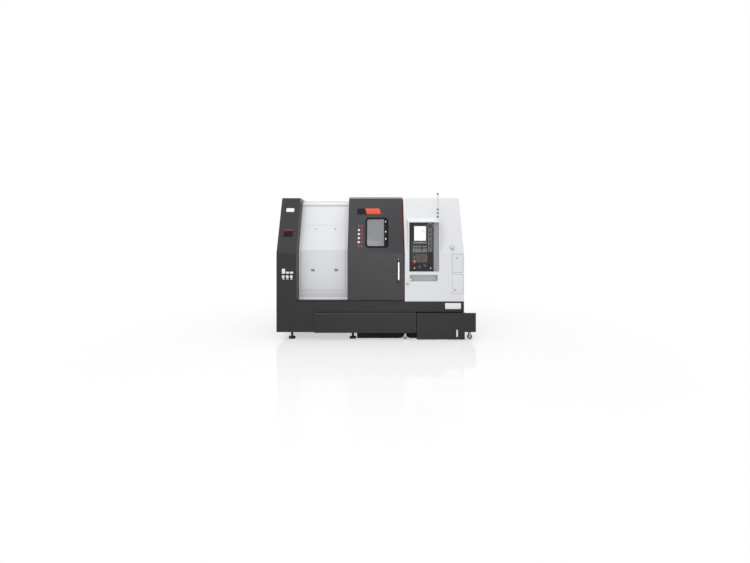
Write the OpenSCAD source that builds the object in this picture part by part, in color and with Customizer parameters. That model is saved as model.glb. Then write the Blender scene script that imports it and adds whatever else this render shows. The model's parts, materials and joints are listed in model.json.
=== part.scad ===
// CNC turning lathe with a slant bed, a sliding guard door, a swing-out control panel and a roll-out tank.
// Millimetres. +X runs right along the spindle axis as seen from the front, the front faces -Y, +Z is up.
// The origin is on the floor, at the middle of the footprint.

/* [Body] */
// Length of the body without the coolant tank's overhang
body_l = 2530; // [2515:5:2550]
// Depth of the guarded body, front face to electrical cabinet
body_depth = 1250; // [1245:5:1290]
// Height of the guards above the floor
body_h = 1950; // [1940:5:1980]
// Height of the base's top above the floor
base_top = 515; // [510:1:520]
// Height of the base's underside above the floor
floor_gap = 100; // [98:1:105]
// Thickness of the guard sheet
sheet = 3; // [2:0.5:4]

/* [Front] */
// Height at which the front starts to lean back
bend_z = 1168; // [1160:1:1175]
// Angle by which the upper front leans back
front_lean = 22; // [21:0.5:23]
// Width of the dark tower at the left end
tower_w = 265.5; // [255:0.5:270]
// Distance of the left guard behind the front face
left_setback = 190; // [180:1:195]
// Width of the right guard
right_w = 797.5; // [790:0.5:805]

/* [Door] */
// Width of the sliding door with its edge strip
door_w = 771; // [755:1:785]
// Thickness of the sliding door
door_t = 40; // [32:1:45]
// Width of the door's window
window_w = 290; // [261:1:319]
// Height of the door's window, along the slope
window_h = 426; // [383:1:469]

/* [Spindle] */
// Diameter of the chuck
chuck_d = 254; // [240:1:260]
// Diameter of the bore through the spindle
spindle_bore_d = 78; // [66:1:82]
// Height of the spindle axis above the floor
axis_z = 1020; // [1015:1:1030]
// Ratio of the motor's speed to the spindle's
belt_ratio = 1.5; // [1.4:0.05:1.6]

/* [Turret] */
// Diameter of the tool turret's disc across its corners
turret_d = 330; // [310:1:340]

/* [Tailstock] */
// Diameter of the tailstock quill
quill_d = 90; // [80:1:100]

/* [Control panel] */
// Width of the swing-out panel
panel_w = 328; // [322:1:335]
// Height of the swing-out panel
panel_h = 663; // [655:1:670]

/* [Tank] */
// Length of the tank that sticks out past the right end
tank_overhang = 155; // [145:1:165]

/* [Cabinet] */
// Depth of the electrical cabinet at the rear
cabinet_d = 400; // [380:5:440]

/* [Hidden] */
$fn = 64;
overrun = 5;
// Radial room of running fits, of pressed seats, and of sliding faces
run_fit = 0.05;
seat_fit = 0.02;
slide_fit = 0.3;
dark_paint = "#3c3c40";
white_paint = "#e2e3e5";
light_grey = "#c4c6c8";
black = "#202022";
steel = "#a9abad";
cast_grey = "#7d8286";
red = "#a82832";

// Overall frame
front_reach = 80;
rear_reach = 55;
body_x0 = -(body_l + tank_overhang) / 2;
body_x1 = body_x0 + body_l;
front_y = -(body_depth + cabinet_d + rear_reach - front_reach) / 2;
body_y1 = front_y + body_depth;
base_y1 = body_y1 + cabinet_d;
tower_x1 = body_x0 + tower_w;
right_x0 = body_x1 - right_w;
half_lean = tan(front_lean / 2);
// Outside radius of the folds in the guards
fold_r = 18;
fold_steps = 5;

// Base, its cored cells and its feet
rib = 40;
band = 160;
deck_t = 25;
bay_inset = 150;
bay_x0 = right_x0 + bay_inset;
bay_d = 620;
bay_roof = 145;
bay_top = base_top - bay_roof;
bay_head = 6;
front_step = 45;
base_cover_inset = 517.5;
base_cover_x0 = body_x0 + base_cover_inset;
base_cover_top = bay_top - bay_head;
base_cover_chamfer = 14;
chamfer_angle = 45;
chute_inset = 1042.5;
chute_x0 = body_x0 + chute_inset;
chute_x1 = bay_x0 - rib;
chute_y = [150, 600];
foot_r = 45;
foot_h = 25;
stud_r = 14;
nut_r = 26;
nut_h = 18;
foot_front = 82;
foot_insets = [195.5, 87.5];
foot_left = body_x0 + foot_insets[0];
foot_right = body_x1 - foot_insets[1];
foot_chute_gap = 15;
foot_places = [
    [foot_left, front_y + foot_front],
    [chute_x0 - foot_chute_gap, front_y + foot_front],
    [foot_left, base_y1 - foot_front],
    [(foot_left + foot_right) / 2, base_y1 - foot_front],
    [foot_right, base_y1 - foot_front],
    [foot_right, front_y + bay_d + foot_front]
];

// Slant frame: u runs up the slope, n stands off it, both measured from the spindle axis
slant = 45;
axis_share = 0.376;
axis_y = front_y + body_depth * axis_share;
bed_n = -380;
bed_foot_u = -170;
bed_rise_share = 0.784;
bed_u = [bed_foot_u, body_depth * bed_rise_share + bed_n];
bed_insets = [422.5, 187.5];
bed_x0 = body_x0 + bed_insets[0];
bed_x1 = body_x1 - bed_insets[1];
bed_room = 20;
bed_back = body_y1 - bed_room;
core_n = -500;
core_wall = 60;
way_inset = 530;
way_x0 = bed_x0 + way_inset;
way_h = 40;
way_w = 50;
way_top_gap = 80;
saddle_way_foot = 190;
saddle_way_u = [saddle_way_foot, bed_u[1] - way_top_gap];
tail_way_u = [-150, 60];
screw_u = (saddle_way_u[0] + saddle_way_u[1] + way_w) / 2;
screw_n = -415;
screw_r = 20;
journal_r = 15;
journal_l = 40;
groove_w = 100;
groove_n = -450;

// Headstock and spindle
nose_inset = 967.5;
nose_x = body_x0 + nose_inset;
head_span = [-525, -25];
head_x0 = nose_x + head_span[0];
head_x1 = nose_x + head_span[1];
head_u = 170;
head_n = 170;
head_chamfer = 70;
bearing_r = 105;
spindle_r = 70;
spindle_l = 625;
spindle_x0 = nose_x - spindle_l;
nose_r = 105;
nose_t = 20;
bearing_spans = [[-505, -465], [-150, -100], [-98, -48]];
chuck_t = 110;
chuck_x1 = nose_x + chuck_t;
slot_w = 40;
slot_depth = 30;
jaw_r = [45, 118];
jaw_step_r = 85;
jaw_step_x = 28;
jaw_reach = 50;
pulley_w = 70;
pulley_r = 115;
pulley_flange = 7;
flange_t = 6;
cylinder_r = 90;
cylinder_l = 190;
cylinder_neck_r = 75;
cylinder_neck_l = 10;
bar_hole_gap = 21;
bar_hole_r = spindle_bore_d / 2 + bar_hole_gap;

// Spindle motor and belt
motor_gap = 30;
motor_seat = 15;
motor_head_gap = 15.27;
// The largest frame that clears the left guard, the base and the headstock's lower face
motor_room = [axis_y - front_y - left_setback - motor_gap, axis_z - base_top - motor_seat];
motor_r = (motor_room[0] * cos(slant) + motor_room[1] * sin(slant) - head_u - motor_head_gap)
    / (1 + cos(slant) + sin(slant));
motor_y = front_y + left_setback + motor_gap + motor_r;
motor_z = base_top + motor_seat + motor_r;
motor_back = 530;
motor_x0 = nose_x - motor_back;
motor_l = 475;
motor_foot_w = 220;
motor_foot_inset = 25;
motor_foot_h = 60;
shaft_r = 20;
shaft_l = 230;
motor_pulley_r = pulley_r / belt_ratio;
belt_gap = 0.6;
belt_t = 12;
belt_side = 2;

// Saddle, cross slide and turret
saddle_span = [-160, 170];
saddle_x = [for (d = saddle_span) right_x0 + d];
saddle_foot_u = 170;
saddle_top_gap = 10;
saddle_u = [saddle_foot_u, bed_u[1] - saddle_top_gap];
saddle_top = -240;
cross_way_x = [30, 250];
cross_way_h = 35;
lip_t = 18;
lip_h = 30;
nut_w = 50;
cross_span = [-150, 160];
cross_x = [for (d = cross_span) right_x0 + d];
cross_rise = [-270, 40];
cross_u = [for (d = cross_rise) bed_u[1] + d];
cross_top = -130;
turret_drop = 120;
turret_u = bed_u[1] - turret_drop;
housing_span = [-162, 150];
housing_x = [for (d = housing_span) right_x0 + d];
housing_rise = [-240, 0];
housing_u = [for (d = housing_rise) bed_u[1] + d];
housing_n = 128;
housing_chamfer = 40;
disc_span = [-277, -187];
disc_x = [for (d = disc_span) right_x0 + d];
turret_shaft_r = 60;
turret_shaft_l = 80;
holder_count = 12;
holder_w = 56;
holder_h = 45;
holder_inset = 8;
tool_reach = 26;
tool_w = 25;
servo_w = 110;
servo_l = 148;
servo_bell = 20;
x_servo_set = 50;
x_servo_x = right_x0 - x_servo_set;
x_servo_n = -330;
z_servo_l = 160;
z_servo_w = 120;

// Tailstock
tail_span = [250, 510];
tail_x = [for (d = tail_span) right_x0 + d];
tail_base_n = -200;
tail_column_u = 80;
barrel_r = 100;
keel_t = 30;
quill_span = [170, 490];
quill_x = [for (d = quill_span) right_x0 + d];
centre_r = 30;
centre_l = 80;
centre_tip_r = 1;

// Left guard, its opening and service panel
left_y = front_y + left_setback;
left_bend_rise = 42;
left_bend = bend_z + left_bend_rise;
top_step = 30;
left_top = body_h - top_step;
door_gap = 4;
door_x1 = right_x0 - door_gap;
door_x0 = door_x1 - door_w;
open_inset = 115;
open_x0 = door_x0 + open_inset;
header_drop = 150;
header_z = body_h - header_drop;
jamb_d = 40;
seam = 3;
lap = 12;
service_insets = [17, 158];
service_x = [tower_x1 + service_insets[0], open_x0 - service_insets[1]];
service_rise = 125;
service_drop = 360;
service_z = [base_top + service_rise, left_top - service_drop];
grip_w = 48;
grip_h = 34;
grip_d = 22;
grip_shares = [0.28, 0.80];
grip_rise = 410;
grip_z = base_top + grip_rise;

// Sliding door
door_set = 15;
door_y = front_y + door_set;
door_lift = 17;
door_drop = 5;
door_z = [base_top + door_lift, body_h - door_drop];
trim_w = 22;
trim_chamfer = 12;
panel_x1 = door_x1 - trim_w;
window_inset = 254;
window_x0 = door_x0 + window_inset;
window_s = 91;
window_corner = 35;
seal_w = 14;
seal_lip = 8;
seal_t = 6;
glass_lap = 14;
glass_t = 8;
handle_inset = 82;
handle_x = door_x1 - handle_inset;
handle_rise = [255, 565];
handle_z = [for (d = handle_rise) base_top + d];
handle_w = 20;
handle_t = 18;
handle_gap = 38;
handle_post = 32;
rail_w = 20;
rail_h = 13;
rail_inset = 16;
rail_end_gap = 17;
rail_x0 = tower_x1 + rail_end_gap;
shoe_l = 90;
shoe_w = 6;
shoe_inset = 60;
// The upper rail, in the door's own slope frame
rail_n1 = (left_setback - door_set) * cos(front_lean) - left_bend_rise * sin(front_lean);
rail_t = 14;
rail_rise = 58;
rail_s = (header_z + rail_rise - left_bend) / cos(front_lean)
    + (left_setback - door_set) * sin(front_lean) + left_bend_rise * cos(front_lean);

// Right guard, panel bay and tray
bay_strip = 23;
panel_inset = 65;
panel_x0 = right_x0 + panel_inset;
panel_share = 0.28;
panel_z0 = base_top + panel_share * (body_h - base_top);
panel_z1 = panel_z0 + panel_h;
panel_gap = 5;
panel_t = 60;
finger_r = 69;
finger_edge = 16;
surround_sill = 15;
surround_head = 72;
surround_x = [panel_x0 - bay_strip, panel_x0 + panel_w + finger_r + finger_edge];
surround_z = [panel_z0 - surround_sill, panel_z1 + surround_head];
hood_head = 12;
hood_z = panel_z1 + hood_head;
niche_d = 130;
surround_back = 20;
surround_d = lean_y(surround_z[1], 0, bend_z) + surround_back;
pin_inset = 8;
pin_r = 4;
pin_l = 9;
pin_play = 1;
tray_w = 378;
tray_x = [panel_x0, panel_x0 + tray_w];
tray_drop = [132, 44];
tray_z = [for (d = tray_drop) panel_z0 - d];
tray_d = 70;
tray_corner = 20;
access_insets = [161.5, 12.5];
access_x = [for (d = access_insets) body_x1 - d];
access_rise = 390;
access_drop = 14;
access_z = [base_top + access_rise, bend_z - access_drop];
knuckle_r = 6;
knuckle_l = 26;
hinge_pin_r = 3;
leaf_w = 9;
leaf_t = 2;
knuckle_gap = 0.4;
hinge_lift = 1;
access_hinge = [access_x[1] - leaf_t, front_y - knuckle_r - hinge_lift];
access_hinge_inset = 50;
access_hinge_z = [access_z[0] + access_hinge_inset, access_z[1] - access_hinge_inset];

// Control panel fittings, measured from the panel's lower left corner
screen_at = [57, 412];
screen_size = [166, 205];
screen_t = 6;
softkey_at = [50, 380];
softkey_count = 12;
softkey_size = [11, 22];
softkey_pitch = 15;
keypad_at = [45, 263];
keypad_count = [10, 5];
keypad_size = [14, 12];
keypad_pitch = [19, 17];
lower_at = [90, 132];
lower_count = [8, 4];
lower_size = [15, 19];
lower_pitch = [19, 27];
key_t = 3;
estop_at = [65, 137];
estop_r = 24;
estop_t = 20;
estop_gap = 9;
estop_stem_r = 11;
wheel_at = [278, 613];
handwheel_r = 31;
handwheel_t = 16;
handwheel_gap = 5;
feed_at = [133, 60];
speed_at = [203, 76];
dial_r = 19;
dial_t = 17;
stem_r = 6;
stem_l = 28;
face_gap = 0.5;

// Gauges and signal tower
gauge_r = 23;
gauge_t = 18;
gauge_pitch = 54;
gauge_inset = 170;
gauge_x = tower_x1 - gauge_inset;
gauge_rise = 335;
gauge_z = base_top + gauge_rise;
right_gauge_inset = 645;
right_gauge_x = right_x0 + right_gauge_inset;
right_gauge_s = 74;
pole_inset = 20;
pole_set = 90;
pole_x = surround_x[1] - pole_inset;
pole_y = front_y + pole_set;
pole_r = 9;
pole_foot_r = 18;
pole_foot_l = 60;
pole_foot_top = hood_z + pole_foot_l;
lens_r = 12.5;
lens_rise = 120;
lens_pitch = 50;
lens_z = [for (i = [0:3]) pole_foot_top + lens_rise + i * lens_pitch];
lens_h = 46;
cap_h = 20;

// Roof
roof_z = left_top;
cap_rise = 25;
cap_top = body_h + cap_rise;
low_cap_top = body_h - sheet;
cap_set = 85;

// Electrical cabinet
cabinet_drop = 50;
cabinet_top = body_h - cabinet_drop;
cabinet_open_insets = [1042.5, 687.5];
cabinet_open_x = [body_x0 + cabinet_open_insets[0], body_x1 - cabinet_open_insets[1]];
cabinet_edge = 85;
cabinet_open_z = [base_top + cabinet_edge, cabinet_top - cabinet_edge];
cabinet_door_t = 25;
cabinet_lap = 20;
cabinet_hinge_side = 4;
cabinet_hinge = [
    cabinet_open_x[0] - cabinet_lap - cabinet_hinge_side,
    base_y1 + cabinet_door_t + knuckle_r + hinge_lift
];
cabinet_hinge_inset = 150;
cabinet_hinge_z = [cabinet_open_z[0] + cabinet_hinge_inset, cabinet_open_z[1] - cabinet_hinge_inset];
switch_insets = [90, 415];
switch_at = [cabinet_open_x[1] - switch_insets[0], cabinet_open_z[1] - switch_insets[1]];
switch_r = 28;
switch_t = 16;
switch_grip = 12;

// Coolant tank
tank_gap = 7;
tank_back = 20;
tank_x0 = bay_x0 + tank_gap;
tank_x1 = body_x1 + tank_overhang;
tank_y = [front_y - front_step, front_y + bay_d - tank_back];
tank_top = base_cover_top;
tank_front_z = 12;
tank_end_z = 110;
tank_low_inset = 44;
tank_low_x0 = chute_x0 + tank_low_inset;
tank_low_lift = 20;
tank_low_gap = 5;
tank_low_z = [tank_low_lift, floor_gap - tank_low_gap];
tank_wall = 6;
tank_deck_drop = 100;
tank_plate_t = 26;
tank_corner = 22;
tank_handle_inset = 110;
tank_handle_x = body_x1 - tank_handle_inset;
tank_handle_z = [56, 144];
tank_handle_w = 22;
tank_handle_t = 10;
tank_handle_gap = 25;
caster_r = 35;
caster_w = 26;
caster_reach = [152, 81.5];
caster_x = [tank_x0 - caster_reach[0], body_x1 + caster_reach[1]];
pocket_w = 80;
low_deck = 80;
caster_set = 28;
caster_y = [front_y + caster_set, tank_y[1] - caster_set];
caster_pocket = 90;
fork_t = 6;
fork_gap = 1.5;
fork_w = 30;
axle_r = 6;

// Depth of a leaning front at height z, for a face that starts at y0 and bends at zb
function lean_y(z, y0, zb) = y0 + max(0, z - zb) * tan(front_lean);

// The fold at height zb of a face that starts at y0, as points on an arc of radius r, from below to above
function fold_points(y0, zb, r) = let (z = zb - r * half_lean) [
    for (i = [0:fold_steps]) let (a = front_lean * i / fold_steps)
        [y0 + r * (1 - cos(a)), z + r * sin(a)]
];

// Section of a sheet of thickness t that follows the bent front, folded to radius r outside
function bent_points(z0, z1, y0, zb, t, r = fold_r) = let (
    zi = zb - t * half_lean,
    inside = fold_points(y0 + t, zi, max(r - t, 0)),
    bent = r > t ? inside : [[y0 + t, zi]]
) concat(
    [[y0, z0]], fold_points(y0, zb, r), [[lean_y(z1, y0, zb), z1], [lean_y(z1, y0 + t, zi), z1]],
    [for (i = [len(bent) - 1:-1:0]) bent[i]], [[y0 + t, z0]]
);

// A point of the slant frame as a depth and a height
function slant_pt(u, n) = [
    axis_y + u * cos(slant) - n * sin(slant),
    axis_z + u * sin(slant) + n * cos(slant)
];

// Height of the slanted line at offset n, at depth y
function slant_z(y, n) = axis_z + (y - axis_y + n * sin(slant)) * tan(slant) + n * cos(slant);

// Depth of the slanted line at offset n, at height z
function slant_y(z, n) = axis_y + (z - axis_z - n * cos(slant)) / tan(slant) - n * sin(slant);

// Outline of a rectangle with rounded corners, from its lower left corner
function round_rect(w, h, r, steps = 6) = [
    for (c = [[w - r, h - r, 0], [r, h - r, 90], [r, r, 180], [w - r, r, 270]])
        for (i = [0:steps])
            [c[0] + r * cos(c[2] + 90 * i / steps), c[1] + r * sin(c[2] + 90 * i / steps)]
];

// Outline with all four corners cut at 45 degrees
function chamfer_rect(y0, y1, z0, z1, c) = [
    [y0 + c, z0], [y1 - c, z0], [y1, z0 + c], [y1, z1 - c],
    [y1 - c, z1], [y0 + c, z1], [y0, z1 - c], [y0, z0 + c]
];

module block(a, b) translate(a) cube(b - a);

module prism_x(x0, x1, points)
    translate([x0, 0, 0]) rotate([90, 0, 90]) linear_extrude(x1 - x0) polygon(points);

module rod_x(x0, x1, at, r)
    translate([x0, at[0], at[1]]) rotate([0, 90, 0]) cylinder(h = x1 - x0, r = r);

module rod_y(y0, y1, x, z, r)
    translate([x, y0, z]) rotate([-90, 0, 0]) cylinder(h = y1 - y0, r = r);

module rod_z(z0, z1, x, y, r) translate([x, y, z0]) cylinder(h = z1 - z0, r = r);

module in_slant() translate([0, axis_y, axis_z]) rotate([slant, 0, 0]) children();

module on_slope(y0, zb) translate([0, y0, zb]) rotate([-front_lean, 0, 0]) children();

// A rounded plate standing in the slope frame, from depth n0 to n1
module slope_plate(x0, s0, w, h, r, n0, n1)
    translate([x0, n1, s0]) rotate([90, 0, 0]) linear_extrude(n1 - n0) polygon(round_rect(w, h, r));

axis_at = [axis_y, axis_z];
motor_at = [motor_y, motor_z];
screw_at = slant_pt(screw_u, screw_n);

// Welded base: cored from below, with the chip chute and the tank's bay
module base_casting() color(dark_paint) difference() {
    union() {
        block([tower_x1, front_y, floor_gap], [body_x1, base_y1, base_top]);
        block([body_x0 + sheet, front_y + sheet, floor_gap], [tower_x1, base_y1, base_top]);
    }
    block([bay_x0, front_y - overrun, floor_gap - overrun], [body_x1 + overrun, front_y + bay_d, bay_top]);
    block([chute_x0, front_y + chute_y[0], floor_gap - overrun],
        [chute_x1, front_y + chute_y[1], base_top + overrun]);
    block([body_x0 + rib, front_y + band, floor_gap - overrun],
        [chute_x0 - rib, base_y1 - band, base_top - deck_t]);
    block([chute_x0, front_y + chute_y[1] + rib, floor_gap - overrun],
        [chute_x1, base_y1 - band, base_top - deck_t]);
    block([bay_x0, front_y + bay_d + rib, floor_gap - overrun],
        [foot_right - band / 2, base_y1 - band, base_top - deck_t]);
}

// Six screw feet with lock nuts
module leveling_feet() color(cast_grey) for (p = foot_places) union() {
    rod_z(0, foot_h, p[0], p[1], foot_r);
    rod_z(0, floor_gap, p[0], p[1], stud_r);
    translate([p[0], p[1], floor_gap - nut_h]) cylinder(h = nut_h, r = nut_r, $fn = 6);
}

// Folded cover that stands proud of the base's front, open behind
module base_front_cover() color(dark_paint) difference() {
    face_y = front_y - front_step;
    slope_z = base_cover_top - base_cover_chamfer;
    inset = sheet * tan(chamfer_angle / 2);
    prism_x(base_cover_x0, bay_x0, [
        [face_y, floor_gap], [face_y, slope_z], [face_y + base_cover_chamfer, base_cover_top],
        [front_y, base_cover_top], [front_y, floor_gap]
    ]);
    prism_x(base_cover_x0 + sheet, bay_x0 - sheet, [
        [face_y + sheet, floor_gap + sheet], [face_y + sheet, slope_z - inset],
        [face_y + base_cover_chamfer + inset, base_cover_top - sheet],
        [front_y + overrun, base_cover_top - sheet], [front_y + overrun, floor_gap + sheet]
    ]);
}

// Cast bed with two pairs of ways, a screw trench and a through core
module slant_bed() color(cast_grey) {
    toe = slant_pt(bed_u[0], bed_n);
    crown = slant_pt(bed_u[1], bed_n);
    core_y1 = bed_back - core_wall;
    core_z0 = base_top + rib;
    difference() {
        union() {
            prism_x(bed_x0, bed_x1, [
                [toe[0], base_top], toe, crown, [bed_back, crown[1]], [bed_back, base_top]
            ]);
            in_slant() for (u = concat(saddle_way_u, tail_way_u))
                block([way_x0, u, bed_n - overrun], [bed_x1, u + way_w, bed_n + way_h]);
        }
        prism_x(bed_x0 - overrun, bed_x1 + overrun, [
            [slant_y(core_z0, core_n), core_z0], [core_y1, slant_z(core_y1, core_n)], [core_y1, core_z0]
        ]);
        in_slant() block([way_x0, screw_u - groove_w / 2, groove_n],
            [bed_x1 + overrun, screw_u + groove_w / 2, bed_n + overrun]);
        rod_x(way_x0 - journal_l, way_x0 + overrun, screw_at, journal_r + run_fit);
    }
}

// Headstock casting around the spindle
module headstock() color(cast_grey) difference() {
    in_slant() prism_x(head_x0, head_x1, [
        [-head_u, bed_n], [head_u, bed_n], [head_u, head_n - head_chamfer],
        [head_u - head_chamfer, head_n], [head_chamfer - head_u, head_n], [-head_u, head_n - head_chamfer]
    ]);
    rod_x(head_x0 - overrun, head_x1 + overrun, axis_at, bearing_r);
}

// One rear and two front bearings
module spindle_bearings() color(steel) for (s = bearing_spans) difference() {
    rod_x(nose_x + s[0], nose_x + s[1], axis_at, bearing_r - seat_fit);
    rod_x(nose_x + s[0] - overrun, nose_x + s[1] + overrun, axis_at, spindle_r + run_fit);
}

// Foot-mounted main motor, bored for its shaft
module spindle_motor() color(dark_paint) difference() {
    union() {
        rod_x(motor_x0, motor_x0 + motor_l, motor_at, motor_r);
        block([motor_x0 + motor_foot_inset, motor_y - motor_foot_w / 2, base_top],
            [motor_x0 + motor_l - motor_foot_inset, motor_y + motor_foot_w / 2, base_top + motor_foot_h]);
    }
    rod_x(motor_x0 - overrun, motor_x0 + shaft_l, motor_at, shaft_r + run_fit);
}

// Flat belt loop around both pulleys
module belt_outline(grow) hull() {
    translate(axis_at) circle(r = pulley_r + belt_gap + grow, $fn = 96);
    translate(motor_at) circle(r = motor_pulley_r + belt_gap + grow, $fn = 96);
}

module drive_belt() color(black)
    translate([spindle_x0 + flange_t + belt_side, 0, 0]) rotate([90, 0, 90])
        linear_extrude(pulley_w - 2 * (flange_t + belt_side)) difference() {
            belt_outline(belt_t);
            belt_outline(0);
        }

// Servo motor on the bed's right end, bored for the screw's journal
module z_servo_motor() color(black) difference() {
    union() {
        in_slant() block([bed_x1, screw_u - z_servo_w / 2, screw_n - z_servo_w / 2],
            [bed_x1 + z_servo_l - servo_bell, screw_u + z_servo_w / 2, screw_n + z_servo_w / 2]);
        rod_x(bed_x1, bed_x1 + z_servo_l, screw_at, z_servo_w / 2 - servo_bell / 2);
    }
    rod_x(bed_x1 - overrun, bed_x1 + journal_l, screw_at, journal_r + run_fit);
}

// Folded tower that closes the left end; its front and end sheets run down over the base
module tower_cover() color(dark_paint) difference() {
    top_in = body_h - sheet;
    bend_in = bend_z - sheet * half_lean;
    union() {
        prism_x(body_x0, tower_x1, concat([[front_y, base_top]], fold_points(front_y, bend_z, fold_r), [
            [lean_y(body_h, front_y, bend_z), body_h], [body_y1, body_h], [body_y1, base_top]
        ]));
        block([body_x0, front_y, floor_gap], [tower_x1, front_y + sheet, base_top + overrun]);
        block([body_x0, front_y, floor_gap], [body_x0 + sheet, body_y1, base_top + overrun]);
    }
    prism_x(body_x0 + sheet, tower_x1 - sheet, concat([[front_y + sheet, base_top - overrun]],
        fold_points(front_y + sheet, bend_in, fold_r - sheet), [
            [lean_y(top_in, front_y + sheet, bend_in), top_in],
            [body_y1 - sheet, top_in], [body_y1 - sheet, base_top - overrun]
        ]));
    rod_x(tower_x1 - sheet - overrun, tower_x1 + overrun, axis_at, cylinder_r + rib);
    rod_x(body_x0 - overrun, body_x0 + sheet + overrun, axis_at, bar_hole_r);
}

// White guard left of and above the door opening
module left_front_cover() color(white_paint) difference() {
    union() {
        prism_x(tower_x1, right_x0, bent_points(base_top, left_top, left_y, left_bend, sheet));
        prism_x(open_x0 - sheet, open_x0, bent_points(base_top, left_top, left_y, left_bend, jamb_d));
    }
    block([open_x0, front_y, base_top - overrun], [right_x0 + overrun, body_y1, header_z]);
    block([service_x[0], front_y, service_z[0]], [service_x[1], body_y1, service_z[1]]);
}

// Lift-off panel: a flush skin on a wider backing, with two pressed finger pulls
module service_panel() color(white_paint) {
    pulls = [for (share = grip_shares) service_x[0] + share * (service_x[1] - service_x[0])];
    difference() {
        union() {
            prism_x(service_x[0] + seam, service_x[1] - seam,
                bent_points(service_z[0] + seam, service_z[1] - seam, left_y, left_bend, sheet));
            prism_x(service_x[0] - lap, service_x[1] + lap, bent_points(service_z[0] - lap,
                service_z[1] + lap, left_y + sheet, left_bend - sheet * half_lean, sheet, fold_r - sheet));
            for (x = pulls)
                block([x - grip_w / 2 - sheet, left_y, grip_z - grip_h / 2 - sheet],
                    [x + grip_w / 2 + sheet, left_y + grip_d + sheet, grip_z + grip_h / 2 + sheet]);
        }
        for (x = pulls)
            block([x - grip_w / 2, left_y - overrun, grip_z - grip_h / 2],
                [x + grip_w / 2, left_y + grip_d, grip_z + grip_h / 2]);
    }
}

// Fixed half of a pinned hinge: two knuckles on a leaf, with bores for the door's pin
module hinge_knuckles(at, z, leaf_x, leaf_y) difference() {
    for (end = [[z - knuckle_l * 1.5, z - knuckle_l / 2], [z + knuckle_l / 2, z + knuckle_l * 1.5]])
        union() {
            rod_z(end[0], end[1], at[0], at[1], knuckle_r);
            block([min(at[0], leaf_x), min(at[1], leaf_y), end[0]],
                [max(at[0], leaf_x), max(at[1], leaf_y), end[1]]);
        }
    rod_z(z - knuckle_l * 2, z + knuckle_l * 2, at[0], at[1], hinge_pin_r + run_fit);
}

// Moving half of the same hinge: the middle knuckle and the pin
module hinge_pin(at, z, leaf_x, leaf_y) union() {
    half = knuckle_l / 2 - knuckle_gap;
    rod_z(z - half, z + half, at[0], at[1], knuckle_r);
    block([min(at[0], leaf_x), min(at[1], leaf_y), z - half],
        [max(at[0], leaf_x), max(at[1], leaf_y), z + half]);
    rod_z(z - knuckle_l * 1.4, z + knuckle_l * 1.4, at[0], at[1], hinge_pin_r);
}

// White guard right of the door, with its jamb wall and the pressed tray
module right_front_cover() color(white_paint) {
    difference() {
        union() {
            prism_x(right_x0, body_x1, bent_points(base_top, body_h, front_y, bend_z, sheet));
            prism_x(right_x0, right_x0 + sheet,
                bent_points(base_top, roof_z, front_y, bend_z, left_setback + jamb_d));
            block([tray_x[0] - sheet, front_y, tray_z[0] - sheet],
                [tray_x[1] + sheet, front_y + tray_d + sheet, tray_z[1] + sheet]);
        }
        translate([tray_x[0], front_y + tray_d, tray_z[0]]) rotate([90, 0, 0])
            linear_extrude(tray_d + overrun)
                polygon(round_rect(tray_x[1] - tray_x[0], tray_z[1] - tray_z[0], tray_corner));
        block([surround_x[0], front_y - overrun, surround_z[0]],
            [surround_x[1], front_y + surround_d + overrun, surround_z[1]]);
        block([access_x[0], front_y - overrun, access_z[0]],
            [access_x[1], front_y + sheet + overrun, access_z[1]]);
    }
    for (z = access_hinge_z) hinge_knuckles(access_hinge, z, access_x[1] + leaf_w, front_y);
}

// Bay around the control panel: sloped hood, finger scoop at the right and hinge bores
module pendant_surround() color(white_paint) {
    pin_at = [panel_x0 + pin_inset, front_y + pin_inset];
    back = front_y + surround_d;
    difference() {
        prism_x(surround_x[0], surround_x[1], [
            [front_y, surround_z[0]], [front_y, hood_z],
            [lean_y(surround_z[1], front_y, bend_z), surround_z[1]],
            [back, surround_z[1]], [back, surround_z[0]]
        ]);
        block([panel_x0 - panel_gap, front_y - overrun, panel_z0],
            [panel_x0 + panel_w, front_y + niche_d, panel_z1]);
        rod_z(panel_z0, panel_z1, panel_x0 + panel_w, front_y, finger_r);
        block([surround_x[0] + sheet, front_y + niche_d + sheet, surround_z[0] + sheet],
            [surround_x[1] - sheet, back + overrun, panel_z1]);
        rod_z(panel_z0 - pin_l - pin_play, panel_z1 + pin_l + pin_play,
            pin_at[0], pin_at[1], pin_r + run_fit);
    }
}

// Roof sheet with a hollow cap that is higher behind the door than behind the right guard
module roof_cover() color(light_grey) {
    right_edge = lean_y(roof_z + sheet, front_y + sheet, bend_z - sheet * half_lean) + seam;
    left_edge = lean_y(left_top, left_y, left_bend);
    cap_y0 = right_edge + cap_set;
    difference() {
        union() {
            block([tower_x1, left_edge, roof_z], [right_x0 + sheet, body_y1, roof_z + sheet]);
            block([right_x0, right_edge, roof_z], [body_x1 - sheet, body_y1, roof_z + sheet]);
            block([door_x0, cap_y0, roof_z], [door_x1, body_y1, cap_top]);
            block([door_x1 - sheet, cap_y0, roof_z], [body_x1 - sheet, body_y1, low_cap_top]);
        }
        block([door_x0 + sheet, cap_y0 + sheet, roof_z + sheet],
            [door_x1 - sheet, body_y1 - sheet, cap_top - sheet]);
        block([door_x1 - sheet - overrun, cap_y0 + sheet, roof_z + sheet],
            [body_x1 - 2 * sheet, body_y1 - sheet, low_cap_top - sheet]);
        block([door_x0 + rib, left_edge + rib, roof_z - overrun],
            [body_x1 - rib, body_y1 - rib, roof_z + sheet + overrun]);
    }
}

// Flat sheet that closes the right end
module right_end_cover() color(white_paint) {
    inner = front_y + sheet;
    bend_in = bend_z - sheet * half_lean;
    prism_x(body_x1 - sheet, body_x1, concat([[inner, base_top]],
        fold_points(inner, bend_in, fold_r - sheet), [
            [lean_y(roof_z, inner, bend_in), roof_z], [body_y1, roof_z], [body_y1, base_top]
        ]));
}

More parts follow.
